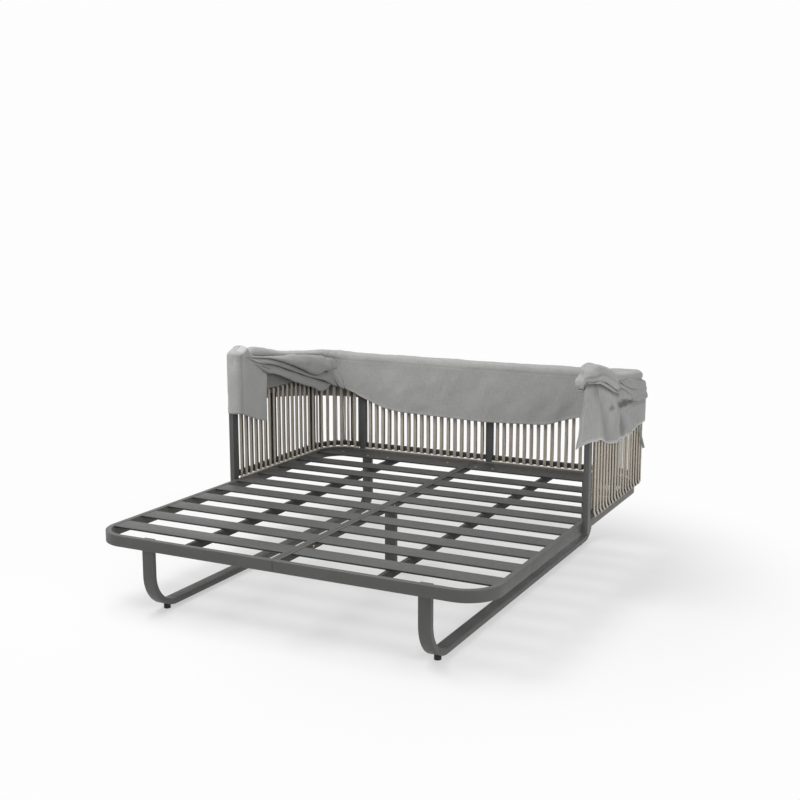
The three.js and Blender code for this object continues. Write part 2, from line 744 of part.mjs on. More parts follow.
// The fabric that hangs over one arm and its bow legs: outside, round the front of the post and
// inside, joined along a ridge above the bows. Drawn for the right side.
function sideCloth(shares) {
  const end = canopyCornerY - pivotY + (canopyCornerRadius * Math.PI) / 2;
  const start = clothRidgeFrontY - pivotY;
  const sideSteps = 13;
  const frontSteps = 6;
  const bendShare = 0.625; // power that squares the bend round the post
  const ridgeAt = (s) => {
    const at = canopyPoint(s);
    const z = frontBowHeight(at.y) + between(shares.ridge, s / canopyReach) * clothDrop;
    return new THREE.Vector3(at.x, at.y, z);
  };
  const edgeAt = (table, s) => frontBowHeight(canopyPoint(s).y) + between(table, s / canopyReach) * clothDrop;
  const rowAt = (s, side, offset, edge) => {
    const at = canopyPoint(s);
    const crease = side > 0 ? clothCreaseDepth * Math.sin((Math.PI * (s - start)) / clothCreaseLength) : 0;
    const out = new THREE.Vector3(Math.cos(at.angle), Math.sin(at.angle), 0);
    const foot = ridgeAt(s).addScaledVector(out, side * (offset + Math.abs(crease)));
    const fold = side > 0 ? 0 : between(shares.fold, s / canopyReach);
    return sideRow(foot, ridgeAt(s), edgeAt(edge, s), fold);
  };
  const places = [];
  for (let i = 0; i <= sideSteps; i++) places.push(start + ((end - start) * i) / sideSteps);
  const outside = places.map((s) => rowAt(s, 1, clothOuterOffset, shares.outerEdge));
  const inside = places.map((s) => rowAt(s, -1, clothInnerOffset, shares.innerEdge));
  const front = [];
  for (let i = 1; i < frontSteps; i++) {
    const turn = (Math.PI * i) / frontSteps;
    const across = Math.sign(Math.cos(turn)) * Math.abs(Math.cos(turn)) ** bendShare;
    const forward = Math.abs(Math.sin(turn)) ** bendShare;
    const offset = across > 0 ? clothOuterOffset : clothInnerOffset;
    const foot = ridgeAt(start).add(new THREE.Vector3(across * offset, -forward * clothFrontReach, 0));
    const share = i / frontSteps;
    const edgeZ = edgeAt(shares.outerEdge, start) * (1 - share) + edgeAt(shares.innerEdge, start) * share;
    front.push(sideRow(foot, ridgeAt(start), edgeZ, 0));
  }
  return clothSheet([...outside.reverse(), ...front, ...inside], true);
}

// The roof panel, folded: a sleeve over the front bow's bar and a drape in front of the back.
function roofCloth() {
  const columns = 24;
  const creases = 7;
  const halfSpan = canopyCornerX - weldGap;
  const rows = [];
  for (let i = 0; i <= columns; i++) {
    const share = (2 * i) / columns - 1;
    const x = share * halfSpan;
    const row = roofRollShares.map(
      ([out, up]) => new THREE.Vector3(x, bowBarY + out * bowHeight, frontBarZ + up * bowHeight),
    );
    const seamZ = row[row.length - 1].z;
    const edgeZ = frontBarZ + between(roofEdgeShares, share) * clothDrop;
    const crease = Math.sin(Math.PI * creases * share) * clothCreaseDepth;
    for (const drop of roofDrapeShares) {
      const y = bowBarY + roofDrapeOutShare * bowHeight - crease * drop;
      row.push(new THREE.Vector3(x, y, seamZ + (edgeZ - seamZ) * drop));
    }
    rows.push(row.reverse());
  }
  return clothSheet(rows, false);
}

// The outer skirt that hangs behind the back, against the ropes.
function skirtCloth() {
  const columns = 18;
  const creases = 6;
  const levels = 5;
  const halfSpan = canopyCornerX - weldGap;
  const seatY = wallY + bandOffset + bandThickness / 2 + ropeGap + clothThickness / 2;
  const rows = [];
  for (let i = columns; i >= 0; i--) {
    const share = (2 * i) / columns - 1;
    const edgeZ = frontBarZ + between(skirtEdgeShares, share) * clothDrop;
    const crease = (1 - Math.cos(Math.PI * creases * share)) * clothCreaseDepth;
    const row = [];
    for (let j = 0; j <= levels; j++) {
      const level = j / levels;
      row.push(new THREE.Vector3(share * halfSpan, seatY + crease * (1 - level), edgeZ + (skirtTop - edgeZ) * level));
    }
    rows.push(row);
  }
  return clothSheet(rows, false);
}

function addCanopyCloth() {
  add("right_canopy_side_cloth", sideCloth(rightSideShares), cloth(), 1);
  add("left_canopy_side_cloth", sideCloth(leftSideShares), cloth(), -1);
  add("canopy_roof_cloth", roofCloth(), cloth());
  add("canopy_rear_skirt", skirtCloth(), cloth());
}

addPlatformFrames();
addSlats();
addBackPlates();
addLegs();
addWallRails();
addPosts();
addWindings();
addBows();
addCanopyCloth();

daybed.position.y = -centreLegY;

export default daybed;
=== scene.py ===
"""An outdoor daybed with a folded canopy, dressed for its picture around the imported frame.

Metres, in the frame's own axes: +X to the right seen from the front, +Y to the rear, +Z up.
"""
import json
import math

import bpy
import numpy as np
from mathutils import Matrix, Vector, noise


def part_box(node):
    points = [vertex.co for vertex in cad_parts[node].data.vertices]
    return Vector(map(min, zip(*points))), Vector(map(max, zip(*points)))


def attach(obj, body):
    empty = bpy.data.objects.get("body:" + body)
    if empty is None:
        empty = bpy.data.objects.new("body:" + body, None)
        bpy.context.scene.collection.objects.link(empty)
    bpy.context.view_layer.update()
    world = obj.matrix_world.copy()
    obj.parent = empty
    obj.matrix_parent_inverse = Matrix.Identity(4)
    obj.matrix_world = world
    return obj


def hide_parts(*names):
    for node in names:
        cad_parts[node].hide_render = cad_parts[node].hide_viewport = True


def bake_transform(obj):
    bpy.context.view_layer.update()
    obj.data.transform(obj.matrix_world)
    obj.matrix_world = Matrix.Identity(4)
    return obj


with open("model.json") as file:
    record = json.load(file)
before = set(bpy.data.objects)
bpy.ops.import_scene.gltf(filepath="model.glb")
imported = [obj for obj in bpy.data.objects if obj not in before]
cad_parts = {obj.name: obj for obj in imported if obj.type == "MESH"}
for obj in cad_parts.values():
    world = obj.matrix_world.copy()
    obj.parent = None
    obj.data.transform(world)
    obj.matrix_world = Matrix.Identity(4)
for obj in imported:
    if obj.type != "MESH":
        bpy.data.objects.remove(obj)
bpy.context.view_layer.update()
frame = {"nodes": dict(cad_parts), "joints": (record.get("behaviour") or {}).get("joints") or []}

MM = 0.001

# Boxes read from the frame
rail_low, rail_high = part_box("wall_top_rail")
plate_low, plate_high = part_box("right_back_plate")
seam_low, seam_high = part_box("right_seam_rail")
front_bow_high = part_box("front_bow")[1]
pivot = Vector(frame["joints"][0]["pos_m"])

# The wall's middle line
WALL_TUBE = rail_high.z - rail_low.z
WALL_X = rail_high.x - WALL_TUBE / 2
WALL_Y = rail_high.y - WALL_TUBE / 2
WALL_RADIUS = 177.8 * MM
WALL_CORNER_X = WALL_X - WALL_RADIUS
WALL_CORNER_Y = WALL_Y - WALL_RADIUS
ARM_START_Y = rail_low.y
ARM_LENGTH = WALL_CORNER_Y - ARM_START_Y
ARC_LENGTH = WALL_RADIUS * math.pi / 2
BACK_POST_XS = [(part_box(name)[0].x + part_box(name)[1].x) / 2
                for name in ("back_left_post", "back_middle_post", "back_right_post")]
BACK_POST_HALF = 20 * MM
PLATFORM_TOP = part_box("right_outer_rail")[1].z
RAIL_BOTTOM_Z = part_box("right_arm_bottom_rail")[0].z
RAIL_TOP_Z = rail_high.z

# Ropes
ROPE_RADIUS = 3 * MM
ROPE_SIDES = 8
ROPES_IN_BAND = 3
ROPE_GAP = 0.2 * MM
ROPE_TURN = 1.2 * ROPE_RADIUS
BAND_OFFSET = WALL_TUBE / 2 + ROPE_GAP + ROPE_RADIUS
BAND_TAIL_STEP = 20 * MM
BAND_TAIL_ROOM = 30 * MM
ARM_LOOPS = 24
BACK_LEFT_LOOPS = 18
BACK_RIGHT_LOOPS = 15
RIGHT_ARM_ROPE_LEAD = 20 * MM
LEFT_ARM_ROPE_LEAD = 14 * MM
BACK_ROPE_LEAD = 9 * MM
LEVEL_SHARES = [0.1, 0.3, 0.5, 0.7, 0.9]
SLANT_ABOVE_RAIL = 6 * MM
SLANT_BEND = 7 * MM
SLANT_ABOVE_TURN = 4 * MM
FOOT_RADIUS = 4.5 * MM
FOOT_END_GAP = 4 * MM
FOOT_STEPS = 60

# How the ropes wander: by how many mm, and how far apart seeds, ropes, loops and faces lie in the noise
ROPE_NOISE_SEED = 1
WANDER_ALONG = 1.6
WANDER_OUT = 0.5
SEEDS_APART = 7.3
ROPES_APART = 900
LOOPS_APART = 3.1
FACES_APART = 50
WAVES_PER_METRE = 6

# Colours
COAT = (0.082, 0.082, 0.079)
# Painted shade: a darker coat for parts inside the rope walls and under the platform, where shade falls
COAT_SHADED = (0.026, 0.026, 0.025)
COAT_EDGE = (0.08, 0.08, 0.077)
BRASS_DARK = (0.42, 0.27, 0.1)
BRASS_LIGHT = (0.62, 0.43, 0.19)
# Rope colours: lit strand tops, and painted shade for the grooves between strands
ROPE_LIGHTS = ((0.80, 0.745, 0.65), (0.68, 0.62, 0.53))
ROPE_SHADES = ((0.52, 0.47, 0.40), (0.42, 0.375, 0.315))
# Painted shade on rope faces that look into the wall
ROPE_INNER_SHADE = (0.45, 0.43, 0.4)
CLOTH = (0.40, 0.40, 0.393)
BACKDROP = (0.985, 0.985, 0.985, 1)

# Patterns of the rope's braid and the cloth's weave and stitching
BRAID_PITCH = 5.5 * MM
BRAID_STRANDS = 4
THREAD_PITCH = 1.3 * MM
STITCH_LENGTH = 5 * MM
STITCH_HALF_WIDTH = 1.1 * MM
STITCH_FROM_HEM = 13 * MM

# Painted shade on the platform's finish, for the walls' shadow: brightness at shares of the way from its
# front to the wall
WALL_SHADE_SHARES = [(0.0, 0.87), (0.55, 0.82), (0.78, 0.56), (0.95, 0.36)]


def placed(name, data):
    """A new object in the scene."""
    made = bpy.data.objects.new(name, data)
    bpy.context.scene.collection.objects.link(made)
    return made


def built(name, points, faces, material, uv_name, uvs, values):
    """A smooth piece with a UV at each corner of its faces and named values at its points."""
    mesh = bpy.data.meshes.new(name)
    mesh.from_pydata(points.tolist(), [], faces)
    mesh.uv_layers.new(name=uv_name).data.foreach_set("uv", np.array(uvs, np.float32).ravel())
    for word, value in values.items():
        mesh.attributes.new(word, "FLOAT", "POINT").data.foreach_set("value", value.astype(np.float32))
    mesh.materials.append(material)
    mesh.polygons.foreach_set("use_smooth", [True] * len(faces))
    return placed(name, mesh)


def principled(name):
    """A new material, its node tree and its shader."""
    material = bpy.data.materials.new(name)
    material.use_nodes = True
    return material, material.node_tree, material.node_tree.nodes["Principled BSDF"]


def node(tree, kind, **settings):
    """Adds a shader node, sets its attributes and, for a name that is an input, that input's value."""
    made = tree.nodes.new("ShaderNode" + kind)
    for key, value in settings.items():
        if hasattr(made, key):
            setattr(made, key, value)
        else:
            made.inputs[key.replace("_", " ")].default_value = value
    return made


def feed(value, socket):
    """Puts another socket, a colour or a number into a socket."""
    if isinstance(value, bpy.types.NodeSocket):
        socket.id_data.links.new(value, socket)
    elif isinstance(value, tuple):
        socket.default_value = (*value, 1)
    else:
        socket.default_value = value


def ramp(source, stops):
    """A colour ramp over a value, with stops of (place, colour or grey level)."""
    made = node(source.id_data, "ValToRGB")
    elements = made.color_ramp.elements
    while len(elements) < len(stops):
        elements.new(0.5)
    for element, (place, colour) in zip(elements, stops):
        element.position = place
        element.color = (*colour, 1) if isinstance(colour, tuple) else (colour, colour, colour, 1)
    feed(source, made.inputs["Fac"])
    return made.outputs["Color"]


def scaled(colour, share):
    return tuple(channel * share for channel in colour)


def noise_over(tree, places, scale, detail, stretch):
    mapping = node(tree, "Mapping", Scale=stretch)
    feed(places, mapping.inputs["Vector"])
    made = node(tree, "TexNoise", Scale=scale, Detail=detail)
    feed(mapping.outputs["Vector"], made.inputs["Vector"])
    return made.outputs["Fac"]


def object_noise(tree, scale, detail, stretch=(1, 1, 1)):
    """Noise in the object's own space, in cycles to the metre."""
    places = node(tree, "TexCoord").outputs["Object"]
    return noise_over(tree, places, scale, detail, stretch)


def mixed(tree, a, b, factor, mode="MIX"):
    """Mixes two colours; a, b and factor are sockets or values."""
    made = node(tree, "Mix", data_type="RGBA", blend_type=mode)
    for socket, value in zip((made.inputs[0], made.inputs[6], made.inputs[7]), (factor, a, b)):
        feed(value, socket)
    return made.outputs[2]


def times(surface, shade):
    return mixed(surface.id_data, surface, shade, 1.0, "MULTIPLY")


def maths(operation, a, b=0.0):
    made = node(a.id_data, "Math", operation=operation)
    for socket, value in zip(made.inputs, (a, b)):
        feed(value, socket)
    return made.outputs[0]


def product(a, b):
    return maths("MULTIPLY", a, b)


def parts_of(vector):
    """The X, Y and Z outputs of a vector's socket."""
    split = node(vector.id_data, "SeparateXYZ")
    feed(vector, split.inputs["Vector"])
    return split.outputs


def attribute(tree, name):
    return node(tree, "Attribute", attribute_name=name).outputs["Fac"]


def bumped(tree, shader, layers):
    """Chains bump nodes, each (height socket, strength, distance), into the shader."""
    normal = None
    for height, strength, distance in layers:
        made = node(tree, "Bump", Strength=strength, Distance=distance)
        feed(height, made.inputs["Height"])
        if normal:
            feed(normal, made.inputs["Normal"])
        normal = made.outputs["Normal"]
    feed(normal, shader.inputs["Normal"])


def platform_painted_shade(tree, surface):
    """Painted shade on slats and plates: sides darker than tops, as light falls from above, and darker
    towards the wall, in its shadow.
    """
    place = parts_of(node(tree, "TexCoord").outputs["Object"])
    way = maths("ADD", product(place["Y"], 0.5), 0.5)
    surface = times(surface, ramp(way, WALL_SHADE_SHARES))
    facing = parts_of(node(tree, "NewGeometry").outputs["Normal"])
    return times(surface, ramp(facing["Z"], [(0.3, 0.42), (0.9, 1)]))


def coat_material(name, colour, roughness, wear=0.0, platform_shade=False):
    """Textured powder coat on metal: fine grain, faint clouds, with wear rubbed patches, and, for the
    platform, painted shade on sides and towards the wall.
    """
    material, tree, shader = principled(name)
    clouds = object_noise(tree, 7, 3)
    grain = object_noise(tree, 900, 2)
    patches = object_noise(tree, 45, 5)
    surface = ramp(clouds, [(0.3, scaled(colour, 0.9)), (0.7, scaled(colour, 1.08))])
    surface = times(surface, ramp(grain, [(0.35, 0.9), (0.65, 1.08)]))
    if wear:
        rubbed = ramp(patches, [(0.5, 0), (0.72, wear)])
        surface = mixed(tree, surface, scaled(colour, 2.1), rubbed)
    # Painted shade: darker sides, and darker towards the wall
    if platform_shade:
        surface = platform_painted_shade(tree, surface)
    feed(surface, shader.inputs["Base Color"])
    gloss = ramp(patches, [(0.3, roughness - 0.06), (0.7, roughness + 0.06)])
    feed(gloss, shader.inputs["Roughness"])
    bumped(tree, shader, [(grain, 0.35, 0.25 * MM), (object_noise(tree, 60, 2), 0.1, 0.5 * MM)])
    return material


def rubber_material():
    material, tree, shader = principled("glide_rubber")
    grain = object_noise(tree, 400, 3)
    feed(ramp(grain, [(0.3, 0.012), (0.7, 0.03)]), shader.inputs["Base Color"])
    feed(0.75, shader.inputs["Roughness"])
    bumped(tree, shader, [(grain, 0.3, 0.2 * MM)])
    return material


def brass_material():
    material, tree, shader = principled("satin_brass")
    stains = object_noise(tree, 260, 4)
    feed(ramp(stains, [(0.3, BRASS_DARK), (0.7, BRASS_LIGHT)]), shader.inputs["Base Color"])
    feed(1.0, shader.inputs["Metallic"])
    feed(ramp(stains, [(0.3, 0.26), (0.7, 0.42)]), shader.inputs["Roughness"])
    bumped(tree, shader, [(object_noise(tree, 1500, 2), 0.1, 0.05 * MM)])
    return material


def rope_material():
    """Round braid, drawn along each rope's own length and round it, with painted shade in the grooves
    between its strands.
    """
    material, tree, shader = principled("braided_rope")
    uv = parts_of(node(tree, "UVMap", uv_map="rope").outputs["UV"])
    around = product(uv["X"], BRAID_STRANDS * math.tau)
    along = product(uv["Y"], math.tau / BRAID_PITCH)
    left = maths("SINE", maths("ADD", along, around))
    right = maths("SINE", maths("SUBTRACT", along, around))
    strands = maths("MAXIMUM", left, right)
    fibres = object_noise(tree, 700, 3, (1, 1, 0.12))
    tone = object_noise(tree, 30, 3, (1, 1, 0.2))
    # Painted shade: the grooves between strands take the darker colours
    light = mixed(tree, *ROPE_LIGHTS, tone)
    shade = mixed(tree, *ROPE_SHADES, tone)
    surface = mixed(tree, shade, light, ramp(strands, [(0.0, 0), (0.75, 1)]))
    surface = times(surface, ramp(fibres, [(0.3, 0.86), (0.7, 1.1)]))
    # Painted shade: rope faces that look into the wall are darker
    inner_shade = ramp(attribute(tree, "faces_out"), [(0.15, ROPE_INNER_SHADE), (0.85, 1)])
    feed(times(surface, inner_shade), shader.inputs["Base Color"])
    feed(0.88, shader.inputs["Roughness"])
    feed(0.15, shader.inputs["Sheen Weight"])
    bumped(tree, shader, [(strands, 0.7, 0.5 * MM), (fibres, 0.4, 0.2 * MM)])
    return material


def stitching(tree):
    """The groove that a seam's thread lies in, and the thread's stitches, each 1 there and 0 elsewhere."""
    away = maths("ABSOLUTE", maths("SUBTRACT", attribute(tree, "edge"), STITCH_FROM_HEM))
    groove = maths("LESS_THAN", away, STITCH_HALF_WIDTH)
    beat = product(attribute(tree, "along"), math.tau / STITCH_LENGTH)
    over = maths("GREATER_THAN", maths("SINE", beat), -0.35)
    return groove, product(groove, over)


def fabric_material():
    """Plain-weave outdoor cloth: threads both ways, slubs, soft clouds, stitching by the hems, painted shade
    deep in its folds, and lighter where that shade is below 0."""
    material, tree, shader = principled("canopy_fabric")
    uv = node(tree, "UVMap", uv_map="cloth").outputs["UV"]
    threads = parts_of(uv)
    warp = maths("SINE", product(threads["X"], math.tau / THREAD_PITCH))
    weft = maths("SINE", product(threads["Y"], math.tau / THREAD_PITCH))
    weave = product(warp, weft)
    lengthways = noise_over(tree, uv, 420, 3, (1, 0.05, 1))
    crossways = noise_over(tree, uv, 420, 3, (0.05, 1, 1))
    fibres = product(maths("ADD", lengthways, crossways), 0.5)
    clouds = object_noise(tree, 5, 4)
    surface = ramp(clouds, [(0.3, scaled(CLOTH, 0.95)), (0.7, scaled(CLOTH, 1.06))])
    surface = times(surface, ramp(fibres, [(0.36, 0.84), (0.64, 1.14)]))
    surface = times(surface, ramp(weave, [(0.1, 0.92), (0.9, 1.05)]))
    groove, stitches = stitching(tree)
    surface = mixed(tree, surface, scaled(CLOTH, 1.5), product(stitches, 0.6))
    # Painted shade: darker where it is above 0, for the shade deep in folds, and lighter where it is below 0
    painted_shade = attribute(tree, "painted_shade")
    surface = times(surface, ramp(painted_shade, [(0, 1), (1, 0.15)]))
    surface = mixed(tree, surface, scaled(CLOTH, 1.7), product(painted_shade, -1.0))
    feed(surface, shader.inputs["Base Color"])
    feed(0.92, shader.inputs["Roughness"])
    feed(0.25, shader.inputs["Sheen Weight"])
    feed(0.6, shader.inputs["Sheen Roughness"])
    height = maths("SUBTRACT", fibres, product(groove, 0.8))
    bumped(tree, shader, [(weave, 0.25, 0.25 * MM), (height, 0.4, 0.5 * MM)])
    return material


coat = coat_material("powder_coat", COAT, 0.5)
# A coat darkened with painted shade, for parts in the shade inside the walls and under the platform
coat_painted_shade = coat_material("powder_coat_painted_shade", COAT_SHADED, 0.7)
coat_edge = coat_material("powder_coat_edges", COAT_EDGE, 0.45, wear=0.4)
# The slats' coat carries painted shade: darker sides, and darker towards the wall
coat_slat = coat_material("powder_coat_slats", COAT, 0.5, platform_shade=True)
rubber = rubber_material()
brass = brass_material()
braid = rope_material()
fabric = fabric_material()

# The finish of each node whose name has the word: its materials, and how wide its edges are rounded. Thin
# posts, bottom rails and mid bars take the coat with painted shade
EDGE = 2.5 * MM
THIN_EDGE = 1 * MM
POST_EDGE = 1.5 * MM
FINISHES = [
    ("glide", [rubber], POST_EDGE), ("bolt", [brass], 0.8 * MM), ("thin_post", [coat_painted_shade], POST_EDGE),
    ("bottom_rail", [coat_painted_shade], EDGE), ("mid_bar", [coat_painted_shade], EDGE),
    ("slat", [coat_slat], THIN_EDGE), ("plate", [coat_slat], THIN_EDGE), ("seam", [coat_slat], EDGE),
    ("", [coat, coat_edge], EDGE)]


def soften(piece, width, edge_material):
    """Rounds a CAD node's edges and gives the rounded strips their own finish."""
    weld = piece.modifiers.new("weld", "WELD")
    weld.merge_threshold = 0.02 * MM
    flat = piece.modifiers.new("flat", "DECIMATE")
    flat.decimate_type = "DISSOLVE"
    flat.angle_limit = math.radians(1)
    bevel = piece.modifiers.new("edges", "BEVEL")
    bevel.width = width
    bevel.segments = 3
    bevel.limit_method = "ANGLE"
    bevel.angle_limit = math.radians(40)
    bevel.harden_normals = True
    bevel.material = edge_material
    piece.data.polygons.foreach_set("use_smooth", [True] * len(piece.data.polygons))


def dress_metal():
    for name, piece in frame["nodes"].items():
        if "rope" in name or "cloth" in name or "skirt" in name:
            continue
        materials, width = next((materials, width) for word, materials, width in FINISHES if word in name)
        piece.data.materials.clear()
        for material in materials:
            piece.data.materials.append(material)
        soften(piece, width, len(materials) - 1)


# Half of a screw head's outline, as (share of its radius, share of its radius above its seat)
HEAD_SHARES = [(0.4, 0.3), (0.45, 0.52), (0.72, 0.48), (0.93, 0.32), (1.0, 0.08), (1.0, -0.2)]
HEAD_SIDES = 16
SEAM_BOLT_RADIUS = 6 * MM
SEAM_BOLT_INSET = 265 * MM
PLATE_SCREW_RADIUS = 5.5 * MM
PLATE_FRONT_ROW = 40 * MM
PLATE_REAR_ROW = 75 * MM

# Screws in the back plates, as (side, share of the plate's width from the seam, row)
PLATE_SCREW_SHARES = [
    (1, 0.05, PLATE_FRONT_ROW), (1, 0.16, PLATE_FRONT_ROW), (1, 0.79, PLATE_REAR_ROW),
    (-1, 0.11, PLATE_REAR_ROW), (-1, 0.51, PLATE_FRONT_ROW), (-1, 0.65, PLATE_FRONT_ROW),
    (-1, 0.85, PLATE_REAR_ROW)]


def screw_heads(name, places, facing, radius):
    """Domed heads with a round socket, one seated at each place and facing the same way."""
    turn = Vector(facing).to_track_quat("Z", "Y")
    vertices = []
    faces = []
    for place in places:
        first = len(vertices)
        for share, rise in HEAD_SHARES:
            for k in range(HEAD_SIDES):
                angle = math.tau * k / HEAD_SIDES
                spoke = Vector((math.cos(angle) * share, math.sin(angle) * share, rise)) * radius
                vertices.append(Vector(place) + turn @ spoke)
        for low in range(first, len(vertices) - HEAD_SIDES, HEAD_SIDES):
            high = low + HEAD_SIDES
            for k in range(HEAD_SIDES):
                n = (k + 1) % HEAD_SIDES
                faces.append((low + k, high + k, high + n, low + n))
        faces.append(list(range(first, first + HEAD_SIDES)))
        faces.append(list(range(len(vertices) - 1, len(vertices) - 1 - HEAD_SIDES, -1)))
    mesh = bpy.data.meshes.new(name)
    mesh.from_pydata(vertices, [], faces)
    mesh.materials.append(brass)
    piece = placed(name, mesh)
    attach(piece, "frame")


def add_screw_heads():
    """The seam bolts, on the right seam rail's face, and the screws in the back plates."""
    seam_z = (seam_low.z + seam_high.z) / 2
    bolt_ys = (seam_low.y + SEAM_BOLT_INSET, (seam_low.y + seam_high.y) / 2, seam_high.y - SEAM_BOLT_INSET)
    bolts = [(seam_high.x, y, seam_z) for y in bolt_ys]
    screw_heads("seam_bolt_heads", bolts, (1, 0, 0), SEAM_BOLT_RADIUS)
    width = plate_high.x - plate_low.x
    screws = [(side * (plate_low.x + width * share), plate_low.y + row, plate_high.z)
              for side, share, row in PLATE_SCREW_SHARES]
    screw_heads("plate_screw_heads", screws, (0, 0, 1), PLATE_SCREW_RADIUS)


def wall_point(distance):
    """A place on the wall's middle line, from the right front post back and round, and the way out."""
    if distance < ARM_LENGTH:
        return Vector((WALL_X, ARM_START_Y + distance, 0)), Vector((1, 0, 0))
    if distance < ARM_LENGTH + ARC_LENGTH:
        angle = (distance - ARM_LENGTH) / WALL_RADIUS
        out = Vector((math.cos(angle), math.sin(angle), 0))
        return Vector((WALL_CORNER_X, WALL_CORNER_Y, 0)) + out * WALL_RADIUS, out
    return Vector((WALL_CORNER_X - (distance - ARM_LENGTH - ARC_LENGTH), WALL_Y, 0)), Vector((0, 1, 0))


def back_distance(x):
    """Distance along the wall's middle line of a place X on the back."""
    return ARM_LENGTH + ARC_LENGTH + WALL_X - WALL_RADIUS - x


def rope_route(start, end, loops, shift, lead, seed):
    """One rope of a band wound round the top and the bottom rail: (distance, out, z) points. lead is
    how far it moves on along the wall as it crosses the top rail."""
    pitch = (end - start - BAND_TAIL_ROOM) / (loops - 0.5)
    low = RAIL_BOTTOM_Z - ROPE_GAP - ROPE_RADIUS
    high = RAIL_TOP_Z + ROPE_GAP + ROPE_RADIUS
    low_bend = low + ROPE_TURN
    high_bend = high - ROPE_TURN
    end_z = PLATFORM_TOP + ROPE_RADIUS
    slant_top = RAIL_BOTTOM_Z + WALL_TUBE + SLANT_ABOVE_RAIL
    slant_shares = [(0.0, slant_top), (0.1, slant_top - SLANT_BEND), (0.85, low_bend + SLANT_ABOVE_TURN),
                    (0.97, low_bend)]
    inner = -BAND_OFFSET
    outer = BAND_OFFSET
    route = []

    def wavy(s, out, z, loop):
        face = 0 if out < 0 else FACES_APART
        rope_at = seed * SEEDS_APART + shift * ROPES_APART
        push = noise.noise_vector(Vector((rope_at, loop * LOOPS_APART + face, z * WAVES_PER_METRE)))
        return (s + push.x * WANDER_ALONG * MM, out + push.y * WANDER_OUT * MM, z)

    for i in range(loops):
        s = start + pitch * (i + 0.5) + shift
        if i == 0:
            route.append((s, inner, end_z))
        else:
            route += [(s, inner + ROPE_TURN, low), (s, inner, low_bend)]
        route += [wavy(s, inner, low + (high - low) * level, i) for level in LEVEL_SHARES]
        route += [(s, inner, high_bend), (s, inner + ROPE_TURN, high)]
        s += lead
        route += [(s, outer - ROPE_TURN, high), (s, outer, high_bend)]
        route += [wavy(s, outer, high + (low - high) * level, i) for level in LEVEL_SHARES[:-1]]
        step = (pitch if i + 1 < loops else BAND_TAIL_STEP) - lead
        route += [(s + step * share, outer, z) for share, z in slant_shares]
        route.append((s + step, outer - ROPE_TURN, low))
    route += [(s + step, inner + ROPE_TURN, low), (s + step, inner, end_z)]
    return route


def on_wall(side, route):
    """The places of a route on one side's wall, and at each the way that the rope's outside looks."""
    points = []
    outwards = []
    for s, out, z in route:
        place, outward = wall_point(s)
        point = place + outward * out
        points.append((point.x * side, point.y, z))
        away = 1 if out > 0 else -1
        outwards.append((outward.x * side * away, outward.y * away, 0))
    return np.array(points), np.array(outwards)


def rope(points, outwards, radius):
    """A closed tube along points, with UVs that run round it and, in metres, along it. Its attribute
    faces_out is 1 where it looks along outwards and 0 where it looks the other way."""
    tangents = np.gradient(points, axis=0)
    tangents /= np.linalg.norm(tangents, axis=1)[:, None]
    side = np.cross(tangents[0], (0.3, 0.5, 0.8))
    side /= np.linalg.norm(side)
    lengths = np.r_[0, np.cumsum(np.linalg.norm(np.diff(points, axis=0), axis=1))]
    angles = np.arange(ROPE_SIDES) * math.tau / ROPE_SIDES
    vertices = []
    facing = []
    for point, tangent, outward in zip(points, tangents, outwards):
        side -= tangent * side.dot(tangent)
        side /= np.linalg.norm(side)
        ring = np.cos(angles)[:, None] * side + np.sin(angles)[:, None] * np.cross(tangent, side)
        vertices.append(point + radius * ring)
        facing.append(0.5 + 0.5 * ring @ outward)
    faces = []
    uvs = []
    for i in range(len(points) - 1):
        low = i * ROPE_SIDES
        high = low + ROPE_SIDES
        for k in range(ROPE_SIDES):
            n = (k + 1) % ROPE_SIDES
            faces.append((low + k, low + n, high + n, high + k))
            a, b = k / ROPE_SIDES, (k + 1) / ROPE_SIDES
            uvs += [(a, lengths[i]), (b, lengths[i]), (b, lengths[i + 1]), (a, lengths[i + 1])]
    last = (len(points) - 1) * ROPE_SIDES
    faces += [tuple(range(ROPE_SIDES - 1, -1, -1)), tuple(range(last, last + ROPE_SIDES))]
    uvs += [(0, 0)] * 2 * ROPE_SIDES
    # The rope's material paints shade where faces_out is low
    values = {"faces_out": np.concatenate(facing)}
    return built("rope", np.concatenate(vertices), faces, braid, "rope", uvs, values)


def joined(name, pieces):
    """Joins pieces into the first one and names it."""
    with bpy.context.temp_override(active_object=pieces[0], selected_editable_objects=pieces):
        bpy.ops.object.join()
    pieces[0].name = name
    return pieces[0]


def winding(wall, start, end, loops, lead, side, seed):
    """The band of ropes between two posts, and the rope that lies along its foot."""
    strands = []
    for k in range(ROPES_IN_BAND):
        shift = (k - (ROPES_IN_BAND - 1) / 2) * 2 * ROPE_RADIUS
        route = rope_route(start, end, loops, shift, lead, seed)
        strands.append(rope(*on_wall(side, route), ROPE_RADIUS))
    length = end - start - 2 * FOOT_END_GAP
    foot_out = -(BAND_OFFSET + ROPE_RADIUS + FOOT_RADIUS)
    foot = [(start + FOOT_END_GAP + length * i / FOOT_STEPS, foot_out, PLATFORM_TOP + FOOT_RADIUS)
            for i in range(FOOT_STEPS + 1)]
    strands.append(rope(*on_wall(side, foot), FOOT_RADIUS))
    piece = joined(wall + "_rope_winding", strands)
    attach(piece, "frame")
    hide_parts(wall + "_ropes")


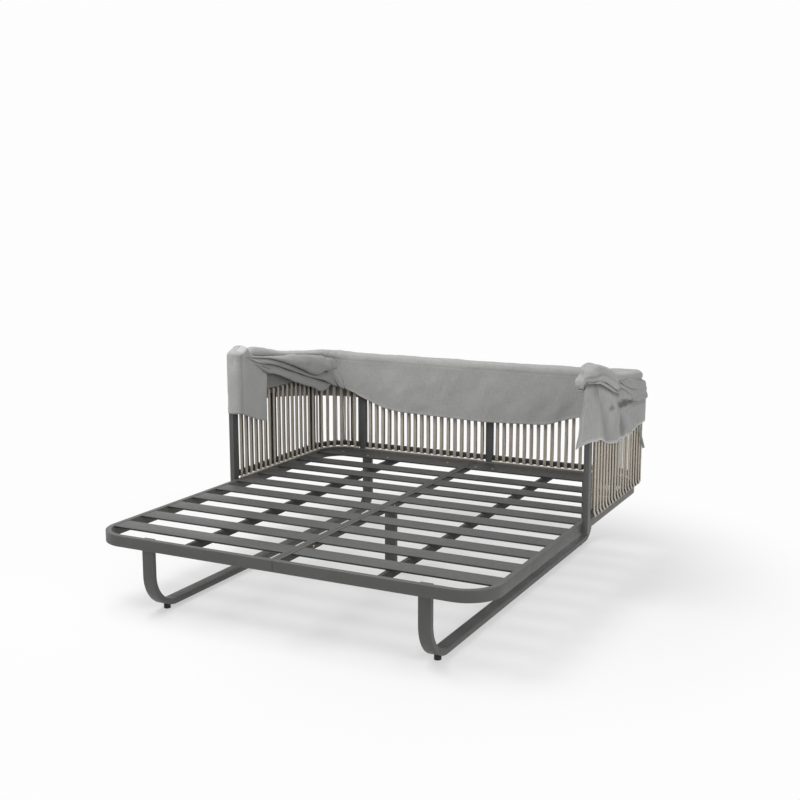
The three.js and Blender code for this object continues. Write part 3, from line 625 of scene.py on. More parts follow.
def wind_walls():
    """The four windings. The ropes' noise needs a seed, so that it is the same in each run."""
    noise.seed_set(ROPE_NOISE_SEED)
    left, middle, right = BACK_POST_XS
    half = BACK_POST_HALF
    arm_end = back_distance(right + half)
    winding("right_arm", 0, arm_end, ARM_LOOPS, RIGHT_ARM_ROPE_LEAD, 1, 1)
    winding("left_arm", 0, arm_end, ARM_LOOPS, LEFT_ARM_ROPE_LEAD, -1, 2)
    for wall, x, next_x, loops, seed in (("back_right", right, middle, BACK_RIGHT_LOOPS, 3),
                                         ("back_left", middle, left, BACK_LEFT_LOOPS, 4)):
        winding(wall, back_distance(x - half), back_distance(next_x + half), loops, BACK_ROPE_LEAD, 1, seed)


# The stage. The camera stands where the photograph was taken from; its turn is in degrees.
CAMERA_PLACE = (2.5105, -4.8503, 1.7728)
CAMERA_DOWN = 9.57
CAMERA_ROLL = 0.06
CAMERA_TURN = 26.9
CAMERA_LENS = 52.63
FLOOR_REACH = 14
FLOOR_FADE_START = 1.0
FLOOR_FADE_END = 2.3


def add_camera():
    camera = placed("camera", bpy.data.cameras.new("camera"))
    camera.location = CAMERA_PLACE
    camera.rotation_euler = [math.radians(angle) for angle in (90 - CAMERA_DOWN, CAMERA_ROLL, CAMERA_TURN)]
    camera.data.lens = CAMERA_LENS
    camera.data.sensor_width = 36
    bpy.context.scene.camera = camera


def add_lamp(name, place, target, size, power):
    lamp = placed(name, bpy.data.lights.new(name, "AREA"))
    lamp.data.size = size
    lamp.data.energy = power
    lamp.location = place
    lamp.rotation_euler = (Vector(target) - Vector(place)).to_track_quat("-Z", "Y").to_euler()


def seen_by_eye(tree):
    """1 for camera, glossy and transmission rays, and 0 for light that falls on the object."""
    path = node(tree, "LightPath")
    either = maths("MAXIMUM", path.outputs["Is Camera Ray"], path.outputs["Is Glossy Ray"])
    return maths("MAXIMUM", either, path.outputs["Is Transmission Ray"])


def blended(tree, share, first, second, output_kind):
    """Leads two shaders, mixed by share, to the tree's output."""
    blend = node(tree, "MixShader")
    for value, socket in zip((share, first.outputs[0], second.outputs[0]), blend.inputs):
        feed(value, socket)
    feed(blend.outputs[0], node(tree, output_kind).inputs["Surface"])


def add_floor():
    """A pale floor that keeps a soft shadow and fades to white away from the object."""
    mesh = bpy.data.meshes.new("floor")
    corners = [(x * FLOOR_REACH, y * FLOOR_REACH, 0) for x, y in ((-1, -1), (1, -1), (1, 1), (-1, 1))]
    mesh.from_pydata(corners, [], [(0, 1, 2, 3)])
    material = bpy.data.materials.new("floor")
    material.use_nodes = True
    tree = material.node_tree
    tree.nodes.clear()
    lit = node(tree, "BsdfDiffuse", Color=(0.9, 0.9, 0.9, 1))
    bright = node(tree, "Emission", Strength=1.0, Color=BACKDROP)
    distance = node(tree, "VectorMath", operation="LENGTH")
    feed(node(tree, "TexCoord").outputs["Object"], distance.inputs[0])
    far = node(tree, "MapRange", interpolation_type="SMOOTHSTEP", From_Min=FLOOR_FADE_START,
               From_Max=FLOOR_FADE_END, To_Min=0.5)
    feed(distance.outputs["Value"], far.inputs["Value"])
    share = product(far.outputs["Result"], seen_by_eye(tree))
    blended(tree, share, lit, bright, "OutputMaterial")
    mesh.materials.append(material)
    placed("floor", mesh)


def add_world():
    world = bpy.data.worlds.new("studio")
    bpy.context.scene.world = world
    world.use_nodes = True
    tree = world.node_tree
    tree.nodes.clear()
    light = node(tree, "Background", Strength=0.5)
    white = node(tree, "Background", Strength=1.0, Color=BACKDROP)
    blended(tree, seen_by_eye(tree), light, white, "OutputWorld")


def set_stage():
    add_camera()
    add_floor()
    add_world()
    add_lamp("key", (-1.6, -1.2, 4.6), (0, 0.2, 0.4), 2.6, 170)
    add_lamp("side", (4.2, -2.4, 2.2), (0.2, 0.2, 0.6), 2.4, 55)
    bpy.context.scene.view_settings.view_transform = "Standard"


# The canopy, folded back onto the wall. Its cloth follows a line in plan over the front bow: back along
# one arm, round the corner and along the back. A place on it is a side (-1 left, 1 right), a distance
# back from the pivot, an offset out from the line and a height, all in millimetres.
BOW_THICKNESS = 12
CANOPY_RADIUS = 174
CANOPY_ARM_X = front_bow_high.x / MM - BOW_THICKNESS
CANOPY_BACK_Y = (front_bow_high.y - pivot.y) / MM - BOW_THICKNESS / 2
CORNER_X = CANOPY_ARM_X - CANOPY_RADIUS
CORNER_START = CANOPY_BACK_Y - CANOPY_RADIUS
CORNER_END = CORNER_START + CANOPY_RADIUS * math.pi / 2
CANOPY_MIDDLE = CORNER_END + CORNER_X
CLOTH_THICKNESS = 1.6 * MM

# Where the cloth on each arm passes into that on the back
LEFT_TO_BACK = (880, 1060)
RIGHT_TO_BACK = (1030, 1180)


def canopy_places(side, distance, out, height):
    """Points in metres of places on the canopy's line, given as arrays."""
    side, distance, out, height = np.broadcast_arrays(side, distance, out, height)
    angle = np.clip((distance - CORNER_START) / CANOPY_RADIUS, 0, math.pi / 2)
    arm = np.minimum(distance, CORNER_START)
    back = np.maximum(distance - CORNER_END, 0)
    x = CORNER_X + (CANOPY_RADIUS + out) * np.cos(angle) - back
    y = arm + (CANOPY_RADIUS + out) * np.sin(angle)
    return np.stack([x * side * MM, pivot.y + y * MM, height * MM], axis=-1)


def smooth(table, at):
    """A smooth value between the (place, value) pairs of a table, with no overshoot."""
    places, values = np.array(table, float).T
    steps = np.diff(places)
    rises = np.diff(values) / steps
    slopes = np.zeros(len(places))
    same_way = rises[:-1] * rises[1:] > 0
    slopes[1:-1][same_way] = (2 * rises[:-1] * rises[1:])[same_way] / (rises[:-1] + rises[1:])[same_way]
    at = np.clip(np.asarray(at, float), places[0], places[-1])
    i = np.clip(np.searchsorted(places, at, side="right") - 1, 0, len(steps) - 1)
    h = steps[i]
    t = (at - places[i]) / h
    return ((1 + 2 * t) * (1 - t) ** 2 * values[i] + t * (1 - t) ** 2 * h * slopes[i]
            + t * t * (3 - 2 * t) * values[i + 1] + t * t * (t - 1) * h * slopes[i + 1])


def curved(points, steps):
    """Points on a smooth curve through control points; these may be arrays of many curves."""
    points = np.array(points, float)
    padded = np.concatenate([[2 * points[0] - points[1]], points, [2 * points[-1] - points[-2]]])
    made = []
    for i in range(1, len(padded) - 2):
        a, b, c, d = padded[i - 1:i + 3]
        for k in range(steps):
            t = k / steps
            made.append(0.5 * (2 * b + (c - a) * t + (2 * a - 5 * b + 4 * c - d) * t * t
                               + (3 * b - a - 3 * c + d) * t ** 3))
    made.append(points[-1])
    return np.array(made)


def sections(points, steps):
    """Smooth cross-sections, one a row, through control points of (outs, heights): outs and heights."""
    section = curved([np.stack(np.broadcast_arrays(*point)) for point in points], steps)
    return section[:, 0].T, section[:, 1].T


def spaced(start, end, step):
    return np.linspace(start, end, max(2, round(abs(end - start) / step)) + 1)


def step_up(values, low, high):
    """0 below low, 1 above high, and a smooth rise between."""
    t = np.clip((np.asarray(values, float) - low) / (high - low), 0, 1)
    return t * t * (3 - 2 * t)


def between(start, end, share):
    return start * (1 - share) + end * share


def bell(away, width):
    """1 where away is 0, fading to nothing over a few widths."""
    return np.exp(-(away / width) ** 2)


def pushed(grid, amount):
    """The grid with each point moved along its normal by an amount in mm."""
    normal = normals_of(grid)
    return grid + normal * (amount * MM)[..., None]


def normals_of(grid):
    normal = np.cross(np.gradient(grid, axis=1), np.gradient(grid, axis=0))
    return normal / np.maximum(np.linalg.norm(normal, axis=2, keepdims=True), 1e-9)


def lengths_of(grid, axis):
    steps = np.linalg.norm(np.diff(grid, axis=axis), axis=2)
    pad = [(0, 0), (0, 0)]
    pad[axis] = (1, 0)
    return np.pad(np.cumsum(steps, axis=axis), pad)


def rumpled(grid, height, size, seed, stretch=(1, 1), hold=0.0):
    """The grid with soft dents and swells of about that height, in mm, and that size in metres."""
    u = lengths_of(grid, 0) / size * stretch[0]
    v = lengths_of(grid, 1) / size * stretch[1]
    push = np.zeros(grid.shape[:2])
    for i, j in np.ndindex(*push.shape):
        push[i, j] = noise.fractal(Vector((u[i, j], v[i, j], seed * 11.7)), 0.8, 2.0, 3)
    return pushed(grid, push * height * (1 - hold))


def pressed(distance, height, lines):
    """How far folds along lines push cloth out, in mm. Each line is two (distance, height) ends, its
    push, and its width at either end."""
    push = np.zeros(np.broadcast(distance, height).shape)
    for (s0, z0), (s1, z1), amount, start_width, end_width in lines:
        ds, dz = s1 - s0, z1 - z0
        t = np.clip(((distance - s0) * ds + (height - z0) * dz) / (ds * ds + dz * dz), 0, 1)
        away = np.hypot(distance - s0 - t * ds, height - z0 - t * dz)
        push += amount * bell(away, start_width + (end_width - start_width) * t)
    return push


def cloth(name, grid, hems, seam=None, painted_shade=0.0):
    """A closed sheet of cloth about a grid of points. hems names the grid's sewn edges, and the last
    argument
    gives the painted shade at each point: from 0 to 1 darker, for the shade deep in a fold, and from 0 to -1
    lighter."""
    rows, columns = grid.shape[:2]
    normal = normals_of(grid)
    layers = [grid + normal * CLOTH_THICKNESS / 2, grid - normal * CLOTH_THICKNESS / 2]
    u = np.repeat(lengths_of(grid, 0).mean(axis=1)[:, None], columns, 1)
    v = lengths_of(grid, 1)
    far = np.ones((rows, columns))
    distance = {"low": v, "first": u, "last": u[-1:] - u}
    edge = np.min([far] + [distance[word] for word in hems], axis=0)
    ends = np.min([far] + [distance[word] for word in hems if word in ("first", "last")], axis=0)
    if seam is not None:
        edge = np.minimum(edge, STITCH_FROM_HEM + np.abs(v - v[:, seam:seam + 1]))
    along = np.where(ends <= edge + 1e-9, v, u)
    count = rows * columns
    index = np.arange(count).reshape(rows, columns)
    corners = np.stack([index[:-1, :-1], index[:-1, 1:], index[1:, 1:], index[1:, :-1]], axis=-1)
    corners = corners.reshape(-1, 4)
    border = np.concatenate([index[:, 0][::-1], index[0, 1:], index[1:, -1], index[-1, -2:0:-1]])
    after = np.roll(border, -1)
    sides = np.stack([after, border, border + count, after + count], axis=-1)
    faces = np.concatenate([corners, corners[:, ::-1] + count, sides])
    points = np.concatenate([layer.reshape(-1, 3) for layer in layers])
    uvs = np.tile(np.stack([u, v], axis=2).reshape(-1, 2), (2, 1))[faces.ravel()]
    values = {"edge": edge, "along": along, "painted_shade": np.broadcast_to(painted_shade, (rows, columns))}
    values = {word: np.tile(value.ravel(), 2) for word, value in values.items()}
    piece = built(name, points, faces.tolist(), fabric, "cloth", uvs, values)
    return piece


def spread(piece):
    """Bakes a folded piece's transform into its mesh."""
    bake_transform(piece)


# One fold that hangs over the next, as (share of its depth, share of its drop)
FOLD_SHARES = [(0.0, 0.0), (0.5, 0.18), (0.86, 0.5), (1.0, 0.8), (0.94, 0.99), (0.62, 1.04), (0.2, 0.94)]
FULL_DROP = 55
FOLD_STEPS = 3
# Width, in columns, of the painted shade where one fold tucks under the next
JOIN_WIDTH = 3.3


def folds(start, levels, base, depths, end):
    """Cross-sections of cloth in hanging folds, which lie between levels: outs, heights, and each column's
    painted shade, dark where one fold tucks under the next."""
    points = list(start)
    for top, low, depth in zip(levels, levels[1:], depths):
        drop = np.maximum(top - low, 1)
        full = depth * np.minimum(1, drop / FULL_DROP) ** 0.6
        points += [(base + full * out, top - drop * down) for out, down in FOLD_SHARES]
    out, z = sections(points + list(end), FOLD_STEPS)
    joins = [(len(start) + len(FOLD_SHARES) * (k + 1) - 0.7) * FOLD_STEPS for k in range(len(depths))]
    painted_shade = sum(bell(np.arange(out.shape[1]) - join, JOIN_WIDTH) for join in joins)
    return out, z, np.clip(painted_shade, 0, 1)


# Heights at distances along the canopy's line, whose tables end near its middle
END = 1828
LEFT_RIDGE = [
    (-27, 1014), (-8, 1024), (10, 1032), (32, 1040), (45, 1050), (58, 1042), (76, 1026), (100, 1020),
    (146, 1024), (221, 1014), (299, 995), (398, 973), (500, 960), (608, 949), (821, 931), (902, 923),
    (1074, 908), (END, 904)]
LEFT_ROLL = [
    (60, 1014), (85, 1026), (110, 1030), (146, 1031), (221, 1023), (299, 1004), (398, 982), (500, 969),
    (608, 958), (821, 940), (902, 932), (1000, 923), (1074, 917), (END, 913)]
LEFT_VALLEY = [
    (60, 994), (110, 984), (191, 974), (343, 959), (467, 950), (571, 939), (700, 925), (795, 910),
    (850, 893), (1074, 882)]
LEFT_HEM = [(-27, 702), (300, 728), (600, 700), (1074, 646), (END, 656)]
LEFT_INNER_HEM = [(-27, 703), (60, 675), (190, 636), (219, 631)]
LEFT_FOLDS = [
    [(30, 992), (149, 976), (274, 955), (423, 915), (526, 880), (739, 817), (800, 826), (839, 822),
     (928, 829), (960, 832)],
    [(30, 985), (102, 962), (155, 948), (280, 926), (429, 881), (639, 815), (878, 747), (934, 727),
     (960, 722)],
    [(30, 975), (102, 950), (167, 915), (215, 886), (292, 876), (341, 861), (486, 808), (658, 756),
     (787, 712), (885, 735), (960, 775)]]
LEFT_LINING = [(0, 793), (561, 791), (613, 789), (1060, 789)]
LEFT_FLAP_LOW = [(835, 838), (860, 815), (916, 764), (964, 716), (992, 706)]
RIGHT_RIDGE = [
    (-31, 1030), (-10, 1040), (30, 1050), (100, 1040), (200, 1010), (300, 960), (380, 905), (1074, 890),
    (END, 904)]
RIGHT_HEM = [
    (-34, 692), (-30, 708), (-25, 722), (-14, 732), (17, 731), (120, 712), (166, 697), (207, 683),
    (290, 668), (404, 666), (590, 666), (752, 678), (850, 682), (1074, 646), (END, 656)]
RIGHT_ROLL = [(-10, 1054), (11, 1065), (49, 1069), (100, 1062), (156, 1049), (287, 1013), (352, 985)]
RIGHT_CREASE = [(-35, 1000), (19, 1003), (138, 974), (261, 930), (325, 912), (352, 908)]
RIGHT_NECK = [(-35, 990), (19, 986), (120, 960), (227, 924), (306, 903), (352, 895)]
RIGHT_LAYERS_TOP = [(322, 960), (400, 950), (536, 947), (675, 919), (801, 899), (900, 888), (1180, 880)]
RIGHT_LAYERS = [
    [(322, 925), (387, 948), (420, 931), (556, 893), (733, 866), (860, 868), (1180, 868)],
    [(322, 900), (387, 915), (454, 898), (590, 849), (733, 838), (860, 842), (1180, 842)],
    [(322, 850), (338, 852), (371, 862), (454, 855), (590, 822), (697, 806), (789, 803), (1180, 800)]]
ROOF_LEFT_EDGE = [
    (60, 990), (795, 906), (823, 883), (871, 872), (903, 857), (937, 825), (963, 793), (982, 760),
    (990, 716), (1000, 708), (1074, 686)]
ROOF_RIGHT_EDGE = [(862, 846), (900, 800), (1074, 724)]

# Heights of the roof's edge at places X along the back
ROOF_BACK_EDGE = [
    (-770, 686), (-737, 671), (-677, 648), (-554, 607), (-472, 596), (-336, 590), (-89, 583), (56, 580),
    (239, 586), (400, 593), (506, 625), (594, 649), (700, 690), (760, 720)]

# Offsets at heights, of the outer cloth's free edge in front of the right post
RIGHT_FREE_EDGE = [(686, -22), (762, -10), (834, -4), (906, 9), (961, 13), (992, 24)]

# Offsets at distances, of the outer cloth
WRAP_END = 30
RIGHT_OUT = 54
OUT_ON_LEFT = [(WRAP_END, 48), (1000, 48), (1220, 30), (END, 30)]
OUT_ON_RIGHT = [(WRAP_END, RIGHT_OUT), (1000, 52), (1220, 30), (END, 30)]

# The outer cloth's way round each front post, as (offset, distance)
LEFT_WRAP = [
    (-41, 219), (-42, 150), (-42, 80), (-42, 25), (-41, 2), (-34, -14), (-16, -23), (15, -24), (36, -20),
    (45, -10), (48, 5), (48, WRAP_END)]
RIGHT_WRAP = [(RIGHT_OUT, WRAP_END), (54, 6), (48, -14), (34, -25), (16, -30), (0, -34)]

# Creases and shades of the outer cloth, as pressed takes them
RIGHT_CREASES = [
    ((10, 985), (0, 700), 14, 9, 24), ((45, 950), (190, 700), -9, 14, 60),
    ((110, 900), (250, 840), 9, 10, 14), ((150, 930), (300, 830), 10, 12, 16),
    ((338, 815), (318, 680), 12, 16, 26), ((350, 815), (420, 690), -9, 10, 30),
    ((345, 815), (560, 680), 10, 12, 30), ((500, 790), (720, 690), -9, 18, 36),
    ((338, 836), (556, 806), 12, 9, 12), ((556, 806), (789, 793), 10, 12, 10)]
LEFT_CREASES = [
    ((0, 985), (190, 660), -5, 30, 50), ((20, 1000), (60, 690), 4, 16, 30),
    ((205, 870), (150, 650), 4, 20, 30)]
RIGHT_SHADES = [
    ((200, 852), (262, 834), 0.7, 14, 8), ((345, 838), (440, 836), 1.1, 14, 14),
    ((440, 836), (735, 812), 1, 13, 5), ((10, 950), (200, 700), 0.42, 22, 62),
    ((352, 800), (440, 700), 0.45, 10, 30), ((560, 806), (800, 790), 0.3, 8, 8)]


def outer_stations():
    """The outer cloth's stations, from the left post round to the right one, as columns: side, distance,
    offset, and which lie inside the left post."""
    left = curved(LEFT_WRAP, 6)
    right = curved(RIGHT_WRAP, 6)
    run = spaced(WRAP_END, CANOPY_MIDDLE, 11)[1:]
    back = [smooth(OUT_ON_LEFT, run), smooth(OUT_ON_RIGHT, run)[-2::-1]]
    out = np.concatenate([left[:, 0], *back, right[:, 0]])
    distance = np.concatenate([left[:, 1], run, run[-2::-1], right[:, 1]])
    station = np.arange(len(out))
    side = np.where(station < len(left) + len(run), -1, 1)
    inner = station < np.argmin(left[:, 1])
    return side[:, None], distance[:, None], out[:, None], inner[:, None]


def outer_shade(side, distance, inner, z, hem):
    """Painted shade on the outer cloth: darker in its folds, under the neck and in the pocket on the right,
    a little darker back from the post, and lighter along the hem and inside the left post.
    """
    shade = pressed(distance, z, RIGHT_SHADES)
    shade += 0.8 * bell(smooth(RIGHT_NECK, distance) - z - 4, 13) * (distance < RIGHT_NECK[-1][0])
    shade -= 1.2 * bell(z - hem, 7)
    shade += 0.1 * step_up(distance, 250, 400)
    painted_shade = np.where((side > 0) & (distance < 1000), np.clip(shade, -1, 1), 0)
    return np.where(inner & (distance > 0), -0.3, painted_shade)


def dress_outer():
    """The outer cloth, round the left post, both arms and the back, and round the right post."""
    side, distance, out, inner = outer_stations()
    left = side < 0
    ridge_at = np.maximum(distance, -8)
    crown = np.where(left, smooth(LEFT_RIDGE, ridge_at), smooth(RIGHT_RIDGE, ridge_at))
    crown = crown - 60 * inner * step_up(distance, 60, 219)
    left_hem = np.where(inner, smooth(LEFT_INNER_HEM, distance), smooth(LEFT_HEM, distance))
    hem = np.where(left, left_hem, smooth(RIGHT_HEM, distance))
    past_post = step_up(distance, 40, 130)
    shoulder = np.where(left, 20 + 16 * past_post, 36)
    wall_z = hem + (crown - shoulder - hem) * np.linspace(0, 1, 32)
    wrapped = np.where(~left & (distance < WRAP_END), (RIGHT_OUT - out) / RIGHT_OUT, 0)
    wall_out = between(RIGHT_OUT, smooth(RIGHT_FREE_EDGE, wall_z), wrapped)
    wall_out = np.where(wrapped > 0, wall_out, out)
    necked = ~left * step_up(wall_z, 880, 985) * (1 - step_up(distance, 300, 420))
    foot = canopy_places(side, distance, wall_out - 10 * necked * (1 - wrapped), wall_z)
    top = canopy_places(side, ridge_at, -18 * inner * past_post, crown - shoulder)
    turn = np.linspace(0, math.pi / 2, 9)[1:]
    arch = top + (foot[:, -1:] - top) * np.cos(turn)[:, None]
    arch[..., 2] += np.sin(turn) * shoulder * MM
    grid = np.concatenate([foot, arch], axis=1)
    z = grid[..., 2] / MM
    push = ~left * pressed(distance, z, RIGHT_CREASES) + inner * pressed(distance, z, LEFT_CREASES)
    grid = pushed(grid, push * (1 - step_up(z, crown - 40, crown)))
    grid = rumpled(grid, 6, 0.2, 3, (1, 0.35))
    grid = rumpled(grid, 1.6, 0.05, 4, (1, 0.6))
    painted_shade = outer_shade(side, distance, inner, z, hem)
    sewn = ("low", "first", "last")
    piece = cloth("canopy_sides_and_back", grid, sewn, painted_shade=painted_shade)
    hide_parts("left_canopy_side_cloth", "right_canopy_side_cloth", "canopy_rear_skirt")
    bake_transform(piece)


def dress_left_folds():
    """The three folds inside the left arm, drawn in with tucks by the post."""
    s = spaced(30, 985, 8)
    levels = [smooth(LEFT_VALLEY, s) + 8] + [smooth(table, s) for table in LEFT_FOLDS]
    fade = 1 - 0.75 * step_up(s, 840, 940)
    base = -31 + 14 * step_up(s, 925, 965)
    out, z, painted_shade = folds([(-14, levels[0] + 14)], levels, base, [-34 * fade, -27 * fade, -22 * fade],
                         [(-24, levels[-1] + 16)])
    tucks = [((35, 992 - 9 * k), (235, 918 - 13 * k), 5 * (-1) ** k, 4, 7) for k in range(5)]
    creases = pressed(s[:, None], z, tucks)
    # Painted shade at the joins of the folds and in the tucks' hollows
    painted_shade = np.clip(painted_shade * step_up(s, 30, 90)[:, None] - 0.12 * np.minimum(creases, 0), 0, 1)
    grid = canopy_places(-1, s[:, None], out - creases, z)[::-1]
    grid = rumpled(grid, 3.5, 0.09, 5, (0.35, 1))
    grid = rumpled(grid, 1.5, 0.03, 6, (0.3, 1))
    piece = cloth("canopy_left_folds", grid, (), painted_shade=painted_shade[::-1])
    spread(piece)


def dress_left_lining():
    s = spaced(60, 1060, 20)
    low = smooth(LEFT_LINING, s)
    out, z = sections([(out, low + up) for out, up in ((-4, 0), (-5, 12), (-4, 30), (-6, 60), (-8, 100))], 5)
    grid = canopy_places(-1, s[:, None], out, z)[::-1]
    # An even painted shade darkens the whole lining
    piece = cloth("canopy_left_lining", grid, ("low",), painted_shade=0.4)
    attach(piece, "frame")


def dress_left_flap():
    """The light corner of cloth that hangs between the left folds and the drape."""
    s = spaced(835, 992, 8)[:, None]
    low = smooth(LEFT_FLAP_LOW, s)
    high = np.maximum(smooth(ROOF_LEFT_EDGE, s) + 14, low + 8)
    share = np.linspace(0, 1, 14)
    out = -38 - 8 * np.sin(math.pi * share) + 12 * share
    grid = canopy_places(-1, s, out, low + (high - low) * share)[::-1]
    piece = cloth("canopy_left_flap", rumpled(grid, 3, 0.08, 7), ("low",))
    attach(piece, "front_bow")


# The roof's roll, from its outer foot over its crown: offsets and drops below the crown, each as a pair
# on the arm and on the back, and then the way down to its seam, with drops as shares of the whole drop
ROOF_ROLL = [
    ((30, -9), (48, 36)), ((37, 10), (30, 33)), ((35, 23), (14, 20)), ((20, 20), (2, 6)), ((3, 6), (0, 0)),
    ((-14, -11), (2, 2))]
ROOF_VALLEY_SHARES = [((-29, -25), (0.35, 0.2)), ((-35, -31), (0.7, 0.6)), ((-31, -30), (1, 1))]
DRAPE_SHARES = [0.12, 0.28, 0.45, 0.62, 0.8, 0.94]
ROOF_STEPS = 4


def dress_roof():
    """The roll along the left arm, the sleeve over the bows' bars and the drape that hangs from it."""
    left = spaced(62, CANOPY_MIDDLE, 8)
    right = spaced(350, CANOPY_MIDDLE, 8)[-2::-1]
    distance = np.concatenate([left, right])
    side = np.concatenate([-np.ones(len(left)), np.ones(len(right))])
    back = np.where(side < 0, step_up(distance, *LEFT_TO_BACK), step_up(distance, *RIGHT_TO_BACK))
    x = side * (CORNER_X - np.maximum(distance - CORNER_END, 0))
    crown = smooth(LEFT_ROLL, distance)
    seam = between(np.where(side < 0, smooth(LEFT_VALLEY, distance), 880), 866 - x * 0.004, back)
    on_arm = np.where(side < 0, smooth(ROOF_LEFT_EDGE, distance), smooth(ROOF_RIGHT_EDGE, distance))
    low = np.minimum(np.where(distance > CORNER_END, smooth(ROOF_BACK_EDGE, x), on_arm), seam - 6)
    points = [(between(*outs, back), crown - between(*drops, back)) for outs, drops in ROOF_ROLL]
    points += [(between(*outs, back), crown - (crown - seam) * between(*shares, back))
               for outs, shares in ROOF_VALLEY_SHARES]
    inwards = between(-33, -29, back)
    points += [(inwards, seam - (seam - low) * share) for share in DRAPE_SHARES] + [(inwards - 1, low)]
    out, z = (values[:, ::-1] for values in sections(points, ROOF_STEPS))
    side = side[:, None]
    distance = distance[:, None]
    gathers = [((790 + 22 * k, 930 - 3 * k), (822 + 22 * k, 900 - 4 * k), 4 * (-1) ** k, 5, 7)
               for k in range(6)]
    grid = pushed(canopy_places(side, distance, out, z), (side < 0) * pressed(distance, z, gathers))
    grid = rumpled(grid, 7, 0.28, 21, (1, 0.45), 0.55 * step_up(z, 860, 900))
    grid = rumpled(grid, 1.5, 0.05, 22, (1, 0.6))
    seam_column = ROOF_STEPS * (len(DRAPE_SHARES) + 1)
    # Painted shade along the valley between the roll and the first fold on the left arm
    valley = pressed(distance, z, [((60, 994), (343, 957), 1, 6, 6), ((343, 957), (790, 908), 1, 6, 4)])
    painted_shade = np.where((side < 0) & (distance < 820) & (out < -20), np.clip(valley, 0, 1), 0)
    piece = cloth("canopy_roof", grid, ("low",), seam_column, painted_shade)
    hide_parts("canopy_roof_cloth")
    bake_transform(piece)


def dress_strap():
    """The tie strap that hangs at the right rear corner."""
    share = np.linspace(0, 1, 15)[:, None]
    across = np.linspace(-1, 1, 3)
    grid = canopy_places(1, 700 + 104 * share, 60 + 6 * across, 672 - 122 * share + 3 * across)
    # An even painted shade darkens the strap
    piece = cloth("canopy_tie_strap", grid, (), painted_shade=0.15)
    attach(piece, "frame")


BAR_HALF_HEIGHT = 12 * MM
PANEL_HALF_WIDTH = 12 * MM


def dress_panel(name, low_bow, high_bow):
    """The panel between two neighbouring bows, from arm to arm, which shows when they stand apart. It
    lies along the plane midway between them."""
    lower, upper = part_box(low_bow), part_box(high_bow)
    bar_z = (lower[0].z + upper[0].z) / 2 + BAR_HALF_HEIGHT
    ray = Vector((0, lower[1].y - pivot.y, bar_z - pivot.z)).normalized()
    across = Vector((0, -ray.z, ray.y))
    half = PANEL_HALF_WIDTH
    run = spaced(60, CANOPY_MIDDLE, 12)
    run = np.concatenate([run, run[-2::-1]])
    side = np.where(np.arange(len(run)) < len(run) / 2, -1, 1)
    out = between(-28, -13, step_up(run, *LEFT_TO_BACK))
    flat = canopy_places(side, run, out, pivot.z / MM)[:, None]
    rows = np.linspace(-half, half, 7)[:, None]
    grid = flat + (flat[..., 1:2] - pivot.y) * np.array((0, 0, ray.z / ray.y)) + rows * np.array(across)
    piece = cloth(name, grid, ())
    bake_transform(piece)


# The right roll's way round the right post, as (offset, distance)
RIGHT_ROLL_WRAP = [
    (64, 352), (68, 300), (70, 220), (69, 140), (67, 60), (66, 20), (62, -2), (53, -20), (38, -33),
    (15, -38), (-8, -36), (-26, -27), (-36, -8), (-40, 20), (-42, 80), (-42, 160), (-40, 230)]

# Its top, as (share of its offset, drop below its crown)
RIGHT_ROLL_TOP = [(-0.3, 6), (0.0, 0), (0.36, 1.5), (0.72, 10), (0.95, 32)]
# Column of the painted shade in the hollow under the crease
HOLLOW_COLUMN = 33.2


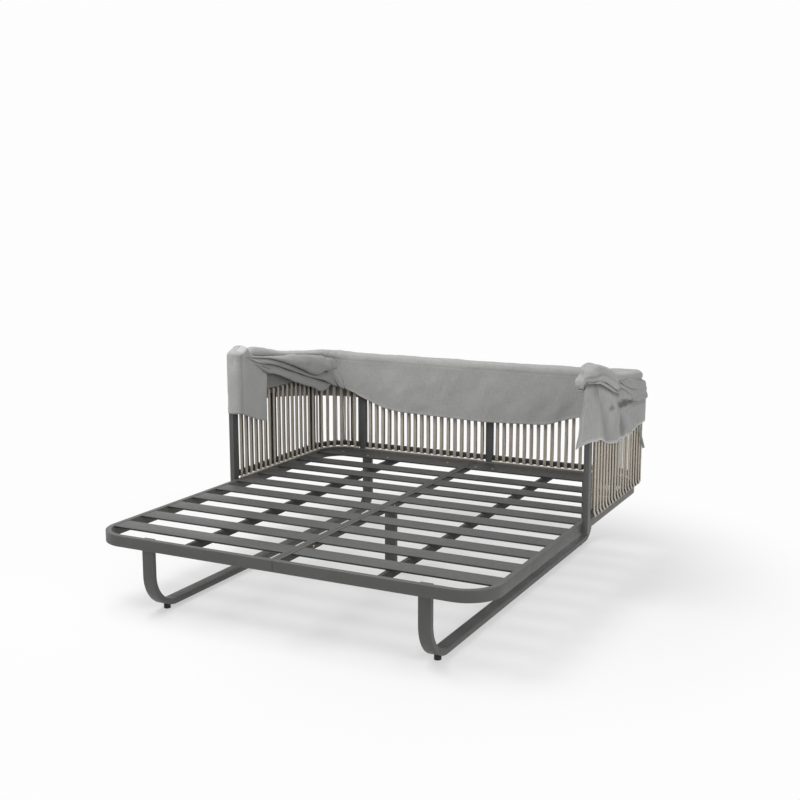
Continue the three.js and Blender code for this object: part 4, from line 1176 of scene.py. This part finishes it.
def dress_right_roll():
    """The cloth gathered over the right post in a fat roll, with a smaller roll under its crease."""
    out, s = curved(RIGHT_ROLL_WRAP, 7).T
    inner = np.arange(len(s)) > np.argmin(s)
    s_top = np.maximum(s, -10)
    crown = smooth(RIGHT_ROLL, s_top)
    inside = np.where(inner, 1, step_up(-out, -40, 10) * step_up(-s, -60, -10))
    past = np.maximum(s, 0)
    first = between(smooth(RIGHT_CREASE, s), 968 - 0.1 * past, inside)
    second = between(smooth(RIGHT_NECK, s), 952 - 0.12 * past, inside)
    out = out - np.where(inner, 0, 26 * step_up(s, 318, 352))
    slim = 1 - 0.45 * inside
    tucked = 1 - 0.3 * inside
    drop = crown - 32 - first
    gap = np.maximum(first - second, 4)
    rows = [(out * share * slim, crown - down) for share, down in RIGHT_ROLL_TOP]
    rows += [(out, crown - 32 - drop * 0.45), (out * 0.98, first + 9), (out * 0.86, first - 2),
             (out * 0.68, first + 6), (out * 0.72, first - gap * 0.1),
             (out * 0.93 * tucked, first - gap * 0.5), (out * 0.86 * tucked, second),
             (out * 0.7, second + 8)]
    across, z = sections(rows, 4)
    # Painted shade: in the hollow under the crease, towards the knot at the roll's back end, and along a
    # soft crease on its top
    hollow = bell(np.arange(z.shape[1]) - HOLLOW_COLUMN, 3.4)
    knot = 0.5 * step_up(s, 300, 345)
    soft_crease = 0.35 * bell(z - between(first, crown, 0.35)[:, None], 5)
    painted_shade = hollow + ~inner[:, None] * (knot[:, None] + soft_crease)
    at = canopy_places(1, s_top[:, None], 0, z)
    foot = canopy_places(1, s[:, None], out[:, None], z)
    grid = (at + (foot - at) * (across / out[:, None])[..., None])[:, ::-1]
    grid = rumpled(grid, 5, 0.09, 31, (0.6, 1))
    grid = rumpled(grid, 1.8, 0.035, 32, (0.6, 1))
    painted_shade = np.clip(painted_shade, 0, 1)[:, ::-1]
    piece = cloth("canopy_right_roll", grid, (), painted_shade=painted_shade)
    spread(piece)


def dress_right_layers():
    """The folds that lie over one another outside the right arm, gathered by the roll."""
    s = spaced(322, 1180, 8)
    top = smooth(RIGHT_LAYERS_TOP, s)
    levels = [top - 8]
    for table, least in zip(RIGHT_LAYERS, (4, 8, 8)):
        levels.append(np.minimum(smooth(table, s), levels[-1] - least))
    gather = 0.35 + 0.65 * step_up(s, 322, 420)
    out, z, painted_shade = folds([(0, top - 4), (18, top + 1), (34, top - 3)], levels, 44,
                         [17 * gather, 19 * gather, 21 * gather], [(30, levels[-1] + 24)])
    grid = canopy_places(1, s[:, None], out, z)[:, ::-1]
    grid = rumpled(grid, 4, 0.1, 41, (0.4, 1))
    grid = rumpled(grid, 1.6, 0.03, 42, (0.35, 1))
    # Painted shade at the fold joins, and an even painted shade over all the layers
    painted_shade = np.clip(painted_shade + 0.14, 0, 1)[::-1]
    piece = cloth("canopy_right_layers", grid, (), painted_shade=painted_shade)
    spread(piece)


set_stage()
dress_metal()
add_screw_heads()
wind_walls()
dress_outer()
dress_left_folds()
dress_left_lining()
dress_left_flap()
dress_roof()
dress_right_roll()
dress_right_layers()
dress_strap()
dress_panel("canopy_lower_panel", "rear_bow", "middle_bow")
dress_panel("canopy_upper_panel", "middle_bow", "front_bow")
